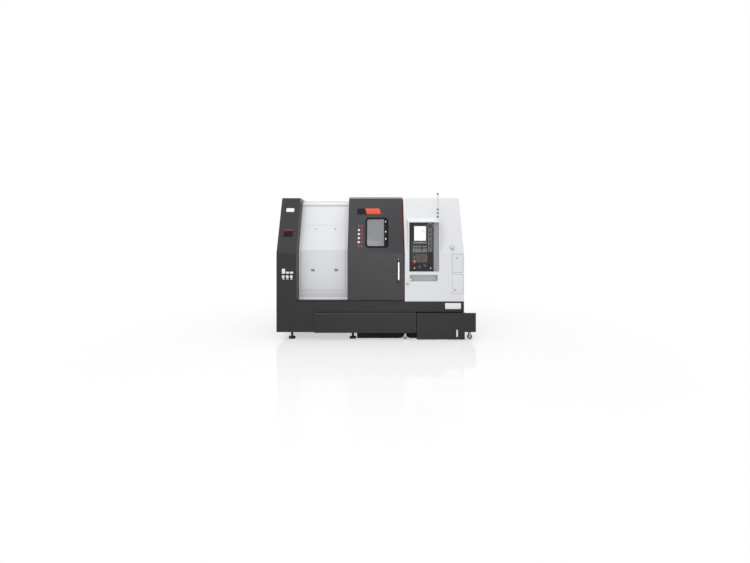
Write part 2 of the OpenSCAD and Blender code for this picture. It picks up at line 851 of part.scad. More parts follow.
// Partition between headstock and work space, cut around the chuck and the bed
module splash_guard() color(steel) difference() {
    inner = left_y + sheet;
    bend_in = left_bend - sheet * half_lean;
    x0 = nose_x + rib - sheet;
    toe = slant_pt(bed_u[0], bed_n);
    crown = slant_pt(bed_u[1], bed_n + way_h);
    prism_x(x0, x0 + sheet, concat([[inner, base_top]], fold_points(inner, bend_in, fold_r - sheet), [
        [lean_y(roof_z, inner, bend_in), roof_z], [body_y1, roof_z], [body_y1, base_top]
    ]));
    rod_x(x0 - overrun, x0 + sheet + overrun, axis_at, chuck_d / 2 + rib / 2);
    prism_x(x0 - overrun, x0 + sheet + overrun, [
        [toe[0] - rib / 2, base_top - overrun], slant_pt(bed_u[0] - rib, bed_n + way_h + rib / 4),
        slant_pt(bed_u[1] + rib, bed_n + way_h + rib / 4), [body_y1 + overrun, crown[1] + rib],
        [body_y1 + overrun, base_top - overrun]
    ]);
}

// Cabinet that closes the rear, open where its door hangs
module electrical_cabinet() color(white_paint) {
    difference() {
        block([tower_x1, body_y1, base_top], [body_x1, base_y1, cabinet_top]);
        block([tower_x1 + sheet, body_y1 + sheet, base_top + sheet],
            [body_x1 - sheet, base_y1 - sheet, cabinet_top - sheet]);
        block([cabinet_open_x[0], base_y1 - sheet - overrun, cabinet_open_z[0]],
            [cabinet_open_x[1], base_y1 + overrun, cabinet_open_z[1]]);
    }
    block([tower_x1, body_y1, cabinet_top], [body_x1, body_y1 + sheet, roof_z]);
    for (z = cabinet_hinge_z)
        hinge_knuckles(cabinet_hinge, z, cabinet_hinge[0] - leaf_w, base_y1);
}

// Lower rail on the base's ledge and upper rail on the header
module door_rails() color(steel) {
    block([rail_x0, door_y + rail_inset - rail_w / 4, base_top],
        [door_x1, door_y + rail_inset + rail_w * 3 / 4, base_top + rail_h]);
    on_slope(door_y, bend_z)
        block([rail_x0, rail_n1 - rail_t, rail_s], [door_x1, rail_n1, rail_s + rail_w]);
}

// Three gauges on the tower and one on the right guard's slope
module pressure_gauges() color(black) {
    for (i = [0:2])
        rod_y(front_y - gauge_t, front_y, gauge_x + i * gauge_pitch, gauge_z, gauge_r);
    on_slope(front_y, bend_z) rod_y(-gauge_t, 0, right_gauge_x, right_gauge_s, gauge_r);
}

// Pole of the signal tower with a foot cut to the hood's slope
module signal_tower() color(light_grey) {
    difference() {
        union() {
            rod_z(hood_z, pole_foot_top, pole_x, pole_y, pole_foot_r);
            rod_z(hood_z, lens_z[0], pole_x, pole_y, pole_r);
        }
        prism_x(surround_x[0], surround_x[1], [
            [front_y, surround_z[0]], [front_y, hood_z],
            [lean_y(surround_z[1], front_y, bend_z), surround_z[1]],
            [front_y + surround_d, surround_z[1]], [front_y + surround_d, surround_z[0]]
        ]);
    }
}

// Stack of lenses with dark rings between them and a cap
module signal_lenses() color(white_paint) {
    rod_z(lens_z[0], lens_z[3] + lens_h + cap_h, pole_x, pole_y, lens_r - sheet);
    for (z = lens_z) rod_z(z, z + lens_h, pole_x, pole_y, lens_r);
    rod_z(lens_z[3] + lens_h + sheet, lens_z[3] + lens_h + cap_h, pole_x, pole_y, lens_r);
}

// Folded door skin with returns, a window opening, hangers and rail shoes
module door_panel() color(dark_paint) {
    rail_y0 = door_y + rail_inset - rail_w / 4;
    rail_y1 = rail_y0 + rail_w;
    rail_top = base_top + rail_h + slide_fit;
    shoes = [door_x0 + shoe_inset, panel_x1 - shoe_inset - shoe_l];
    difference() {
        prism_x(door_x0, panel_x1, bent_points(door_z[0], door_z[1], door_y, bend_z, door_t));
        prism_x(door_x0 + sheet, panel_x1 - sheet, bent_points(door_z[0] + sheet, door_z[1] - sheet,
            door_y + sheet, bend_z - sheet * half_lean, door_t + overrun, fold_r - sheet));
        on_slope(door_y, bend_z) slope_plate(window_x0, window_s, window_w, window_h, window_corner,
            -overrun, sheet + overrun);
    }
    for (x = shoes) {
        block([x, rail_y0 - slide_fit - shoe_w, rail_top],
            [x + shoe_l, rail_y1 + slide_fit + shoe_w, door_z[0] + sheet]);
        for (y = [rail_y0 - slide_fit - shoe_w, rail_y1 + slide_fit])
            block([x, y, base_top + rail_h / 3], [x + shoe_l, y + shoe_w, rail_top + slide_fit]);
        on_slope(door_y, bend_z) {
            for (s = [rail_s - slide_fit - shoe_w, rail_s + rail_w + slide_fit])
                block([x, sheet - slide_fit, s], [x + shoe_l, rail_n1 - rail_t / 2, s + shoe_w]);
        }
    }
}

// Frame seal on the front of the window opening
module window_seal() color(black) on_slope(door_y, bend_z) difference() {
    slope_plate(window_x0 - seal_w, window_s - seal_w, window_w + 2 * seal_w, window_h + 2 * seal_w,
        window_corner + seal_w, -seal_t, 0);
    slope_plate(window_x0 + seal_lip, window_s + seal_lip, window_w - 2 * seal_lip,
        window_h - 2 * seal_lip, window_corner - seal_lip, -seal_t - overrun, overrun);
}

// Laminated pane behind the skin
module window_glass() color("#8c9196") on_slope(door_y, bend_z)
    slope_plate(window_x0 - glass_lap, window_s - glass_lap, window_w + 2 * glass_lap,
        window_h + 2 * glass_lap, window_corner, sheet, sheet + glass_t);

// Bar handle on two posts
module door_handle() color(steel) union() {
    bar_y = door_y - handle_gap - handle_t;
    block([handle_x - handle_w / 2, bar_y, handle_z[0]],
        [handle_x + handle_w / 2, bar_y + handle_t, handle_z[1]]);
    for (z = [handle_z[0], handle_z[1] - handle_post])
        block([handle_x - handle_w / 2, bar_y, z], [handle_x + handle_w / 2, door_y, z + handle_post]);
}

// Chamfered edge strip that follows the door's bend
module trim_outline() polygon([
    [panel_x1, 0], [door_x1 - trim_chamfer, 0], [door_x1, trim_chamfer], [door_x1, door_t], [panel_x1, door_t]
]);

module door_red_trim() color(red) difference() {
    union() {
        translate([0, door_y, door_z[0]]) linear_extrude(bend_z - door_z[0]) trim_outline();
        on_slope(door_y, bend_z)
            linear_extrude((door_z[1] - bend_z) / cos(front_lean) + door_t) trim_outline();
    }
    block([panel_x1 - overrun, front_y, door_z[1]], [door_x1 + overrun, body_y1, body_h + door_t]);
}

// Hollow spindle with its nose flange
module spindle() color(steel) difference() {
    union() {
        rod_x(spindle_x0, nose_x, axis_at, spindle_r);
        rod_x(nose_x - nose_t, nose_x, axis_at, nose_r);
    }
    rod_x(spindle_x0 - overrun, nose_x + overrun, axis_at, spindle_bore_d / 2);
}

module around_spindle(angle) translate([0, axis_y, axis_z]) rotate([angle, 0, 0]) children();

// Power chuck with three radial slots
module chuck_body() color(steel) difference() {
    rod_x(nose_x, chuck_x1, axis_at, chuck_d / 2);
    rod_x(nose_x - overrun, chuck_x1 + overrun, axis_at, spindle_bore_d / 2);
    for (angle = [0:120:240]) around_spindle(angle)
        block([chuck_x1 - slot_depth, -slot_w / 2, 0],
            [chuck_x1 + overrun, slot_w / 2, chuck_d / 2 + overrun]);
}

// Stepped jaw that slides in its slot
module jaw(angle) color(cast_grey) around_spindle(angle) union() {
    half = slot_w / 2 - slide_fit;
    block([chuck_x1 - slot_depth + slide_fit, -half, jaw_r[0]], [chuck_x1 + jaw_step_x, half, jaw_r[1]]);
    block([chuck_x1, -half, jaw_r[0]], [chuck_x1 + jaw_reach, half, jaw_step_r]);
}

module jaw_1() jaw(0);
module jaw_2() jaw(120);
module jaw_3() jaw(240);

// Flanged pulley of radius r around the x axis at a place
module pulley(at, r) union() {
    rod_x(spindle_x0, spindle_x0 + pulley_w, at, r);
    for (x = [spindle_x0, spindle_x0 + pulley_w - flange_t]) rod_x(x, x + flange_t, at, r + pulley_flange);
}

module spindle_pulley() color(steel) difference() {
    pulley(axis_at, pulley_r);
    rod_x(spindle_x0 - overrun, spindle_x0 + pulley_w + overrun, axis_at, spindle_r + seat_fit);
}

// Rotating draw cylinder on the spindle's tail
module chuck_cylinder() color(steel) difference() {
    union() {
        rod_x(spindle_x0 - cylinder_l, spindle_x0 - cylinder_neck_l, axis_at, cylinder_r);
        rod_x(spindle_x0 - cylinder_l, spindle_x0, axis_at, cylinder_neck_r);
    }
    rod_x(spindle_x0 - cylinder_l - overrun, spindle_x0 + overrun, axis_at, spindle_bore_d / 2);
}

// Motor pulley in one with the motor's shaft
module motor_pulley() color(steel) union() {
    pulley(motor_at, motor_pulley_r);
    rod_x(spindle_x0, motor_x0 + shaft_l - overrun, motor_at, shaft_r);
}

// Saddle on the rear pair of ways, with cross ways and a screw nut
module saddle() color(cast_grey) difference() {
    seat = bed_n + way_h + slide_fit;
    in_slant() union() {
        block([saddle_x[0], saddle_u[0], seat], [saddle_x[1], saddle_u[1], saddle_top]);
        for (u = [saddle_way_u[0] + way_w + slide_fit, saddle_way_u[1] - slide_fit - lip_t])
            block([saddle_x[0], u, seat - lip_h], [saddle_x[1], u + lip_t, seat + overrun]);
        for (x = cross_way_x)
            block([saddle_x[0] + x, saddle_u[0], saddle_top],
                [saddle_x[0] + x + way_w, saddle_u[1], saddle_top + cross_way_h]);
        block([saddle_x[0] + lip_t, screw_u - nut_w / 2, screw_n - nut_w / 2],
            [saddle_x[0] + lip_t + servo_l, screw_u + nut_w / 2, seat + overrun]);
    }
    rod_x(saddle_x[0] - overrun, saddle_x[1] + overrun, screw_at, screw_r + run_fit);
}

// Servo motor on the saddle's upper end
module x_servo_motor() color(black) in_slant() union() {
    block([x_servo_x, saddle_u[1], x_servo_n],
        [x_servo_x + servo_w, saddle_u[1] + servo_l - servo_bell, x_servo_n + servo_w]);
    translate([x_servo_x + servo_w / 2, saddle_u[1], x_servo_n + servo_w / 2]) rotate([-90, 0, 0])
        cylinder(h = servo_l, r = servo_w / 2 - servo_bell / 2);
}

// Cross slide that straddles the saddle's upper ways
module cross_slide() color(cast_grey) in_slant() union() {
    seat = saddle_top + cross_way_h + slide_fit;
    block([cross_x[0], cross_u[0], seat], [cross_x[1], cross_u[1], cross_top]);
    for (x = [saddle_x[0] + cross_way_x[0] - slide_fit - lip_t,
        saddle_x[0] + cross_way_x[1] + way_w + slide_fit])
        block([x, cross_u[0], seat - lip_h], [x + lip_t, cross_u[1], seat + overrun]);
}

// Turret gearbox, bored for the disc's shaft
module turret_housing() color(light_grey) in_slant() difference() {
    prism_x(housing_x[0], housing_x[1],
        chamfer_rect(housing_u[0], housing_u[1], cross_top, housing_n, housing_chamfer));
    rod_x(housing_x[0] - overrun, housing_x[0] + turret_shaft_l, [turret_u, 0], turret_shaft_r + run_fit);
}

// Twelve-sided tool disc with its shaft
module turret_disc() color(steel) in_slant() union() {
    translate([disc_x[0], turret_u, 0]) rotate([0, 90, 0])
        cylinder(h = disc_x[1] - disc_x[0], r = turret_d / 2, $fn = holder_count);
    rod_x(disc_x[1], housing_x[0] + turret_shaft_l - overrun, [turret_u, 0], turret_shaft_r);
}

// A clamped tool block on each flat, with tools that reach toward the chuck or outward
module tool_holders() color(dark_paint) in_slant() {
    flat_r = turret_d / 2 * cos(180 / holder_count);
    for (i = [0:holder_count - 1])
        translate([0, turret_u, 0]) rotate([(i + 0.5) * 360 / holder_count, 0, 0]) union() {
            block([disc_x[0] + holder_inset, -holder_w / 2, flat_r],
                [disc_x[1] - holder_inset, holder_w / 2, flat_r + holder_h]);
            if (i % 2 == 0)
                block([disc_x[0] + holder_inset, -tool_w / 2, flat_r + holder_h - overrun],
                    [disc_x[0] + holder_inset + tool_w, tool_w / 2, flat_r + holder_h + tool_reach]);
            else
                rod_x(disc_x[0] - tool_reach, disc_x[0] + holder_inset + overrun,
                    [0, flat_r + holder_h / 2], tool_w / 2);
        }
}

// Feed screw with a journal at each end
module z_ball_screw() color(steel) union() {
    rod_x(way_x0 + overrun, bed_x1 - overrun, screw_at, screw_r);
    rod_x(way_x0 - journal_l + overrun, bed_x1 + journal_l - overrun, screw_at, journal_r);
}

// Tailstock on the front pair of ways, bored for the quill
module tailstock_body() color(cast_grey) difference() {
    seat = bed_n + way_h + slide_fit;
    in_slant() union() {
        block([tail_x[0], tail_way_u[0], seat], [tail_x[1], tail_way_u[1] + way_w, tail_base_n]);
        for (u = [tail_way_u[0] + way_w + slide_fit, tail_way_u[1] - slide_fit - keel_t])
            block([tail_x[0], u, seat - lip_h], [tail_x[1], u + keel_t, seat + overrun]);
        block([tail_x[0], -tail_column_u, tail_base_n - overrun], [tail_x[1], tail_column_u, 0]);
        rod_x(tail_x[0], tail_x[1], [0, 0], barrel_r);
    }
    rod_x(tail_x[0] - overrun, tail_x[1] + overrun, axis_at, quill_d / 2 + run_fit);
}

// Quill with its dead centre
module quill() color(steel) union() {
    rod_x(quill_x[0], quill_x[1], axis_at, quill_d / 2);
    translate([quill_x[0] - centre_l, axis_y, axis_z]) rotate([0, 90, 0])
        cylinder(h = centre_l + overrun, r1 = centre_tip_r, r2 = centre_r);
}

module at_panel(p) translate([panel_x0 + p[0], front_y, panel_z0 + p[1]]) children();

// Control panel case with hinge pins, a screen pocket and bores for its controls
module pendant_case() color(black) difference() {
    pin_at = [panel_x0 + pin_inset, front_y + pin_inset];
    union() {
        block([panel_x0, front_y, panel_z0 + pin_play],
            [panel_x0 + panel_w - panel_gap, front_y + panel_t, panel_z1 - pin_play]);
        rod_z(panel_z0 - pin_l, panel_z1 + pin_l, pin_at[0], pin_at[1], pin_r);
    }
    at_panel(screen_at) block([0, -overrun, 0], [screen_size[0], screen_t, screen_size[1]]);
    at_panel(estop_at) rod_y(-overrun, stem_l + overrun, 0, 0, estop_stem_r + run_fit);
    for (p = [wheel_at, feed_at, speed_at])
        at_panel(p) rod_y(-overrun, stem_l + overrun, 0, 0, stem_r + run_fit);
}

module pendant_screen() color(light_grey) at_panel(screen_at)
    block([face_gap, face_gap, face_gap], [screen_size[0] - face_gap, screen_t, screen_size[1] - face_gap]);

// A rectangular field of keys
module key_field(at, count, size, pitch)
    for (i = [0:count[0] - 1], j = [0:count[1] - 1])
        at_panel(at + [i * pitch[0], j * pitch[1]]) block([0, -key_t, 0], [size[0], 0, size[1]]);

module pendant_keys() color(light_grey) {
    key_field(softkey_at, [softkey_count, 1], softkey_size, [softkey_pitch, 0]);
    key_field(keypad_at, keypad_count, keypad_size, keypad_pitch);
    key_field(lower_at, lower_count, lower_size, lower_pitch);
}

// Mushroom button on a stem
module estop_button() color("#e2431f") at_panel(estop_at) union() {
    rod_y(-estop_gap - estop_t, -estop_gap, 0, 0, estop_r);
    rod_y(-estop_gap, stem_l - overrun, 0, 0, estop_stem_r);
}

// Pulse handwheel with a crank stub
module handwheel() color(light_grey) at_panel(wheel_at) union() {
    rod_y(-handwheel_gap - handwheel_t, -handwheel_gap, 0, 0, handwheel_r);
    rod_y(-handwheel_gap, stem_l, 0, 0, stem_r);
    rod_y(-handwheel_gap - handwheel_t - stem_l, -handwheel_gap - handwheel_t,
        0, handwheel_r - 2 * stem_r, stem_r);
}

// Override dial with a pointer rib
module dial(at) color(light_grey) at_panel(at) union() {
    rod_y(-dial_t - face_gap, -face_gap, 0, 0, dial_r);
    rod_y(-face_gap, stem_l, 0, 0, stem_r);
    block([-sheet, -dial_t - stem_r, -dial_r + sheet], [sheet, -dial_t, dial_r - sheet]);
}

module feed_dial() dial(feed_at);
module spindle_dial() dial(speed_at);

// Small hinged door in the right guard
module access_door() color(white_paint) {
    block([access_x[0] + seam, front_y, access_z[0] + seam],
        [access_x[1] - seam, front_y + sheet, access_z[1] - seam]);
    for (z = access_hinge_z)
        hinge_pin(access_hinge, z, access_hinge[0] - leaf_w, front_y);
}

// Cabinet door on the rear, with a hole for the switch's shaft
module cabinet_door() color(white_paint) {
    x0 = cabinet_open_x[0] - cabinet_lap;
    difference() {
        block([x0, base_y1 + face_gap, cabinet_open_z[0] - cabinet_lap],
            [cabinet_open_x[1] + cabinet_lap, base_y1 + cabinet_door_t, cabinet_open_z[1] + cabinet_lap]);
        rod_y(base_y1 - overrun, base_y1 + cabinet_door_t + overrun,
            switch_at[0], switch_at[1], stem_r + run_fit);
    }
    for (z = cabinet_hinge_z)
        hinge_pin(cabinet_hinge, z, x0 + leaf_w, base_y1 + cabinet_door_t);
}

// Rotary main switch through the cabinet door
module main_switch() color(red) translate([switch_at[0], base_y1 + cabinet_door_t, switch_at[1]]) union() {
    rod_y(face_gap, switch_t, 0, 0, switch_r);
    rod_y(-cabinet_door_t, switch_t, 0, 0, stem_r);
    block([-stem_r, switch_t - face_gap, sheet - switch_r],
        [stem_r, switch_t + switch_grip, switch_r - sheet]);
}

// Roll-out tank: a low tray under the chute and a tall box, with guide strips, caster forks and axles
module coolant_tank() color(dark_paint) {
    decks = [low_deck, tank_end_z];
    difference() {
        union() {
            block([tank_x0, tank_y[0], tank_front_z], [body_x1, tank_y[1], tank_top]);
            block([body_x1 - overrun, tank_y[0], tank_end_z],
                [tank_x1, tank_y[1], tank_top - tank_deck_drop]);
            block([body_x1 - overrun, tank_y[0], tank_end_z], [tank_x1, tank_y[0] + tank_plate_t, tank_top]);
            block([tank_low_x0, front_y, tank_low_z[0]], [tank_x0 + overrun, tank_y[1], tank_low_z[1]]);
        }
        block([tank_low_x0 + tank_wall, front_y + tank_wall, tank_low_z[0] + tank_wall],
            [caster_x[0] - caster_pocket * 2 / 3, tank_y[1] - tank_wall, tank_low_z[1] + overrun]);
        block([tank_x0 + tank_wall, tank_y[0] + tank_wall, tank_front_z + tank_wall],
            [body_x1 - tank_wall, tank_y[1] - tank_wall, tank_top + overrun]);
        for (y = caster_y)
            block([caster_x[0] - caster_pocket / 2, y - pocket_w / 2, tank_low_z[0] - overrun],
                [caster_x[0] + caster_pocket / 2, y + pocket_w / 2, low_deck]);
        translate([tank_x1, tank_y[0], tank_end_z - overrun])
            linear_extrude(tank_top - tank_end_z + 2 * overrun) polygon([
                [-tank_corner - overrun, -overrun], [overrun, -overrun], [overrun, tank_corner + overrun]
            ]);
    }
    block([tank_x0, tank_y[0], tank_top - tank_wall], [body_x1, front_y, tank_top]);
    for (x = [tank_x0 + caster_pocket, body_x1 - 2 * caster_pocket])
        block([x, tank_y[1], tank_end_z],
            [x + caster_pocket, front_y + bay_d - slide_fit, tank_end_z + fork_w]);
    for (i = [0, 1], y = caster_y) {
        cheek = caster_w / 2 + fork_gap;
        for (side = [-cheek - fork_t, cheek])
            block([caster_x[i] - fork_w / 2, y + side, caster_r - fork_w / 2],
                [caster_x[i] + fork_w / 2, y + side + fork_t, decks[i]]);
        rod_y(y - cheek - fork_t / 2, y + cheek + fork_t / 2, caster_x[i], caster_r, axle_r);
    }
}

// Pull bar on the tank's front
module tank_handle() color(white_paint) union() {
    bar_y = tank_y[0] - tank_handle_gap - tank_handle_t;
    x0 = tank_handle_x - tank_handle_w / 2;
    x1 = tank_handle_x + tank_handle_w / 2;
    block([x0, bar_y, tank_handle_z[0]], [x1, bar_y + tank_handle_t, tank_handle_z[1]]);
    for (z = [tank_handle_z[0], tank_handle_z[1] - tank_handle_t])
        block([x0, bar_y, z], [x1, tank_y[0], z + tank_handle_t]);
}

// Wheel that turns on its fork's axle
module caster(i, j) color(black) difference() {
    y = caster_y[j];
    rod_y(y - caster_w / 2, y + caster_w / 2, caster_x[i], caster_r, caster_r);
    rod_y(y - caster_w, y + caster_w, caster_x[i], caster_r, axle_r + run_fit);
}

module caster_1() caster(0, 0);
module caster_2() caster(0, 1);
module caster_3() caster(1, 0);
module caster_4() caster(1, 1);

base_casting();
leveling_feet();
base_front_cover();
slant_bed();
headstock();
spindle_bearings();
spindle_motor();
drive_belt();
z_servo_motor();
tower_cover();
left_front_cover();
service_panel();
right_front_cover();
pendant_surround();
roof_cover();
right_end_cover();
splash_guard();
electrical_cabinet();
door_rails();
pressure_gauges();
signal_tower();
signal_lenses();
door_panel();
window_seal();
window_glass();
door_handle();
door_red_trim();
spindle();
chuck_body();
spindle_pulley();
chuck_cylinder();
jaw_1();
jaw_2();
jaw_3();
motor_pulley();
saddle();
x_servo_motor();
cross_slide();
turret_housing();
turret_disc();
tool_holders();
z_ball_screw();
tailstock_body();
quill();
pendant_case();
pendant_screen();
pendant_keys();
estop_button();
handwheel();
feed_dial();
spindle_dial();
access_door();
cabinet_door();
main_switch();
coolant_tank();
tank_handle();
caster_1();
caster_2();
caster_3();
caster_4();
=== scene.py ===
"""Looks of a slant-bed turning lathe: finishes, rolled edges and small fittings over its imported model."""
import json
import math

import bmesh
import bpy
import numpy as np
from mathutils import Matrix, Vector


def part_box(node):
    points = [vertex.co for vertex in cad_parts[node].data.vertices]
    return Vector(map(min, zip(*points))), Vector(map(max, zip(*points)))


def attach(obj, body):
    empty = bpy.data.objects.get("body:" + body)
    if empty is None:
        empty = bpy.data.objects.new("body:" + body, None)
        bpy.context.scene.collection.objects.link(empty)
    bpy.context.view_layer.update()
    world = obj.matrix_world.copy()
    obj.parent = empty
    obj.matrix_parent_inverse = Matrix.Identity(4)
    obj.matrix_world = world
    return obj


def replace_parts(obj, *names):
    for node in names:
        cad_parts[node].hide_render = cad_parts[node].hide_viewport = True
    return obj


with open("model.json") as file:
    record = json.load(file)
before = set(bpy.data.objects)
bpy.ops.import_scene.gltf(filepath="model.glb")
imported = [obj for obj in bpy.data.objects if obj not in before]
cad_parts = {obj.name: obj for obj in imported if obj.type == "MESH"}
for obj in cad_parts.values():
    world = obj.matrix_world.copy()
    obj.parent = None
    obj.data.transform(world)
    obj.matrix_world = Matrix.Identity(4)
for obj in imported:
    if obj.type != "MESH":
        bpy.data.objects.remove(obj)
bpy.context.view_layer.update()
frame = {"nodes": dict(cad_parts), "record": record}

# Studio: a pale polished floor and a white surround, lit softly from above and in front.
# The camera stands level before the front, a little above the fold of the guards.
scene = bpy.context.scene
scene.view_settings.view_transform = "Standard"

camera = bpy.data.objects.new("camera", bpy.data.cameras.new("camera"))
camera.location = (-0.013, -5.8125, 1.235)
camera.rotation_euler = (math.pi / 2, 0.0, 0.0)
camera.data.sensor_width = 36.0
camera.data.lens = 17.8
camera.data.shift_y = -0.0447
camera.data.clip_end = 200.0
scene.collection.objects.link(camera)
scene.camera = camera


def set_up(node, **values):
    """Sets a shader node: a value named with a capital goes to the input of that name, others to the node."""
    for name, value in values.items():
        if name[0].isupper():
            node.inputs[name.replace("_", " ")].default_value = value
        else:
            setattr(node, name, value)
    return node


def wire(tree, *pairs):
    """Joins each output socket to its input socket."""
    for source, target in pairs:
        tree.links.new(source, target)


world = bpy.data.worlds.new("studio")
world.use_nodes = True
scene.world = world
sky = world.node_tree.nodes
ambient = set_up(sky["Background"], Color=(0.97, 0.985, 1.0, 1.0), Strength=0.54)
backdrop = set_up(sky.new("ShaderNodeBackground"), Color=(1.0, 1.0, 1.0, 1.0), Strength=1.0)
ray = sky.new("ShaderNodeLightPath")
seen = set_up(sky.new("ShaderNodeMath"), operation="MAXIMUM")
shown = set_up(sky.new("ShaderNodeMath"), operation="MAXIMUM")
choice = sky.new("ShaderNodeMixShader")
wire(world.node_tree, (ray.outputs["Is Camera Ray"], seen.inputs[0]),
     (ray.outputs["Is Glossy Ray"], seen.inputs[1]), (seen.outputs[0], shown.inputs[0]),
     (ray.outputs["Is Transmission Ray"], shown.inputs[1]), (shown.outputs[0], choice.inputs["Fac"]),
     (ambient.outputs[0], choice.inputs[1]), (backdrop.outputs[0], choice.inputs[2]),
     (choice.outputs[0], sky["World Output"].inputs["Surface"]))


def softbox(name, place, aim, width, height, power):
    """A rectangular lamp at a place, turned so that its front looks at the aim."""
    lamp = bpy.data.lights.new(name, "AREA")
    lamp.shape = "RECTANGLE"
    lamp.size = width
    lamp.size_y = height
    lamp.energy = power
    piece = bpy.data.objects.new(name, lamp)
    piece.location = place
    to = np.subtract(aim, place)
    piece.rotation_euler = (math.acos(-to[2] / np.linalg.norm(to)), 0.0, math.atan2(-to[0], to[1]))
    scene.collection.objects.link(piece)


softbox("key", (-2.2, -5.2, 5.0), (0.0, -0.5, 1.1), 4.5, 2.5, 62.0)
softbox("front", (-0.2, -7.6, 2.2), (0.0, -0.6, 0.9), 6.0, 3.0, 78.0)
softbox("overhead", (0.0, -0.6, 6.0), (0.0, -0.4, 1.0), 6.0, 5.0, 172.0)
softbox("fill", (0.7, -6.0, 0.9), (-0.8, -0.6, 0.7), 2.4, 1.6, 18.0)
softbox("back", (-1.0, 5.5, 4.0), (0.0, 0.4, 1.0), 4.0, 3.0, 60.0)

floor_mesh = bpy.data.meshes.new("floor")
floor_half = 40.0
floor_corners = [(x * floor_half, y * floor_half, 0.0) for x, y in ((-1, -1), (1, -1), (1, 1), (-1, 1))]
floor_mesh.from_pydata(floor_corners, [], [(0, 1, 2, 3)])
floor = bpy.data.objects.new("floor", floor_mesh)
scene.collection.objects.link(floor)
floor_finish = bpy.data.materials.new("polished_floor")
floor_finish.use_nodes = True
floor_nodes = floor_finish.node_tree.nodes
floor_shader = set_up(floor_nodes["Principled BSDF"], Base_Color=(0.94, 0.94, 0.94, 1.0), Roughness=0.07)
floor_place = floor_nodes.new("ShaderNodeTexCoord")
floor_reach = set_up(floor_nodes.new("ShaderNodeVectorMath"), operation="LENGTH")
floor_fade = set_up(floor_nodes.new("ShaderNodeMapRange"), interpolation_type="SMOOTHSTEP", From_Min=1.7,
                    From_Max=4.2)
floor_ray = floor_nodes.new("ShaderNodeLightPath")
floor_lift = set_up(floor_nodes.new("ShaderNodeMath"), operation="MULTIPLY")
floor_lift.inputs[1].default_value = 0.55
floor_clear = floor_nodes.new("ShaderNodeBsdfTransparent")
floor_blend = floor_nodes.new("ShaderNodeMixShader")
wire(floor_finish.node_tree, (floor_place.outputs["Object"], floor_reach.inputs[0]),
     (floor_reach.outputs["Value"], floor_fade.inputs["Value"]),
     (floor_ray.outputs["Is Camera Ray"], floor_lift.inputs[0]),
     (floor_lift.outputs[0], floor_fade.inputs["To Min"]),
     (floor_fade.outputs["Result"], floor_blend.inputs["Fac"]),
     (floor_shader.outputs[0], floor_blend.inputs[1]), (floor_clear.outputs[0], floor_blend.inputs[2]),
     (floor_blend.outputs[0], floor_nodes["Material Output"].inputs["Surface"]))
floor_mesh.materials.append(floor_finish)

# Base: a welded steel box that carries everything, with a folded cover over the front's pipe run.
# Both are powder coated in dark grey, a coat with a faint orange peel and softly rolled edges.
record = frame["record"]
body_of = {n: b for b, members in record["behaviour"]["bodies"].items() for n in members}


def finish(name, colour, rough, drift=(0.5, 0.05), rub=(0.06, 0.05), grain=(0.002, 3e-5),
           stretch=(1.0, 1.0, 1.0), **sockets):
    """A surface finish on object coordinates. Slow noise moves the colour by a share, middling noise moves
    the roughness, and fine noise lifts the surface by a height in metres; each is given as the noise's size
    and its reach. Stretch draws the pattern out."""
    coat = bpy.data.materials.new(name)
    coat.use_nodes = True
    tree = coat.node_tree
    nodes = tree.nodes
    shader = set_up(nodes["Principled BSDF"], **sockets)
    where = nodes.new("ShaderNodeTexCoord")
    drawn = set_up(nodes.new("ShaderNodeMapping"), Scale=[1.0 / s for s in stretch])

    def noise(size, detail):
        node = set_up(nodes.new("ShaderNodeTexNoise"), Scale=1.0 / size, Detail=detail)
        tree.links.new(drawn.outputs["Vector"], node.inputs["Vector"])
        return node.outputs["Fac"]

    tone = set_up(nodes.new("ShaderNodeMix"), data_type="RGBA",
                  A=[c * (1.0 - drift[1]) for c in colour] + [1.0],
                  B=[min(1.0, c * (1.0 + drift[1])) for c in colour] + [1.0])
    worn = set_up(nodes.new("ShaderNodeMapRange"), From_Min=0.3, From_Max=0.7,
                  To_Min=max(0.02, rough - rub[1]), To_Max=rough + rub[1])
    relief = set_up(nodes.new("ShaderNodeBump"), Strength=0.6, Distance=grain[1])
    wire(tree, (where.outputs["Object"], drawn.inputs["Vector"]),
         (noise(drift[0], 4.0), tone.inputs["Factor"]), (tone.outputs["Result"], shader.inputs["Base Color"]),
         (noise(rub[0], 3.0), worn.inputs["Value"]), (worn.outputs["Result"], shader.inputs["Roughness"]),
         (noise(grain[0], 2.0), relief.inputs["Height"]), (relief.outputs["Normal"], shader.inputs["Normal"]))
    return coat


def eased(node, roll, coat):
    """A CAD node's own faces, joined at their corners, with every sharp edge rolled to a small radius.
    It stands for the node and takes its body."""
    mesh = frame["nodes"][node].data.copy()
    mesh.name = node + "_skin"
    work = bmesh.new()
    work.from_mesh(mesh)
    bmesh.ops.remove_doubles(work, verts=work.verts, dist=1e-5)
    bmesh.ops.dissolve_limit(work, angle_limit=0.004, verts=work.verts, edges=work.edges)
    work.to_mesh(mesh)
    work.free()
    mesh.materials.clear()
    mesh.materials.append(coat)
    mesh.polygons.foreach_set("material_index", np.zeros(len(mesh.polygons), np.int32))
    mesh.shade_smooth()
    piece = bpy.data.objects.new(node + "_skin", mesh)
    scene.collection.objects.link(piece)
    edge = piece.modifiers.new("rolled_edge", "BEVEL")
    edge.width = roll
    edge.segments = 2
    edge.limit_method = "ANGLE"
    edge.angle_limit = math.radians(31.0)
    weight = piece.modifiers.new("flat_faces", "WEIGHTED_NORMAL")
    weight.keep_sharp = True
    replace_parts(piece, node)
    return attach(piece, body_of[node])


dark_coat = finish("dark_powder_coat", (0.020, 0.020, 0.0215), 0.40, drift=(0.7, 0.07), rub=(0.09, 0.05),
                   grain=(0.0022, 5e-5), Specular_IOR_Level=0.28)
eased("base_casting", 0.009, dark_coat)
eased("base_front_cover", 0.0012, dark_coat)

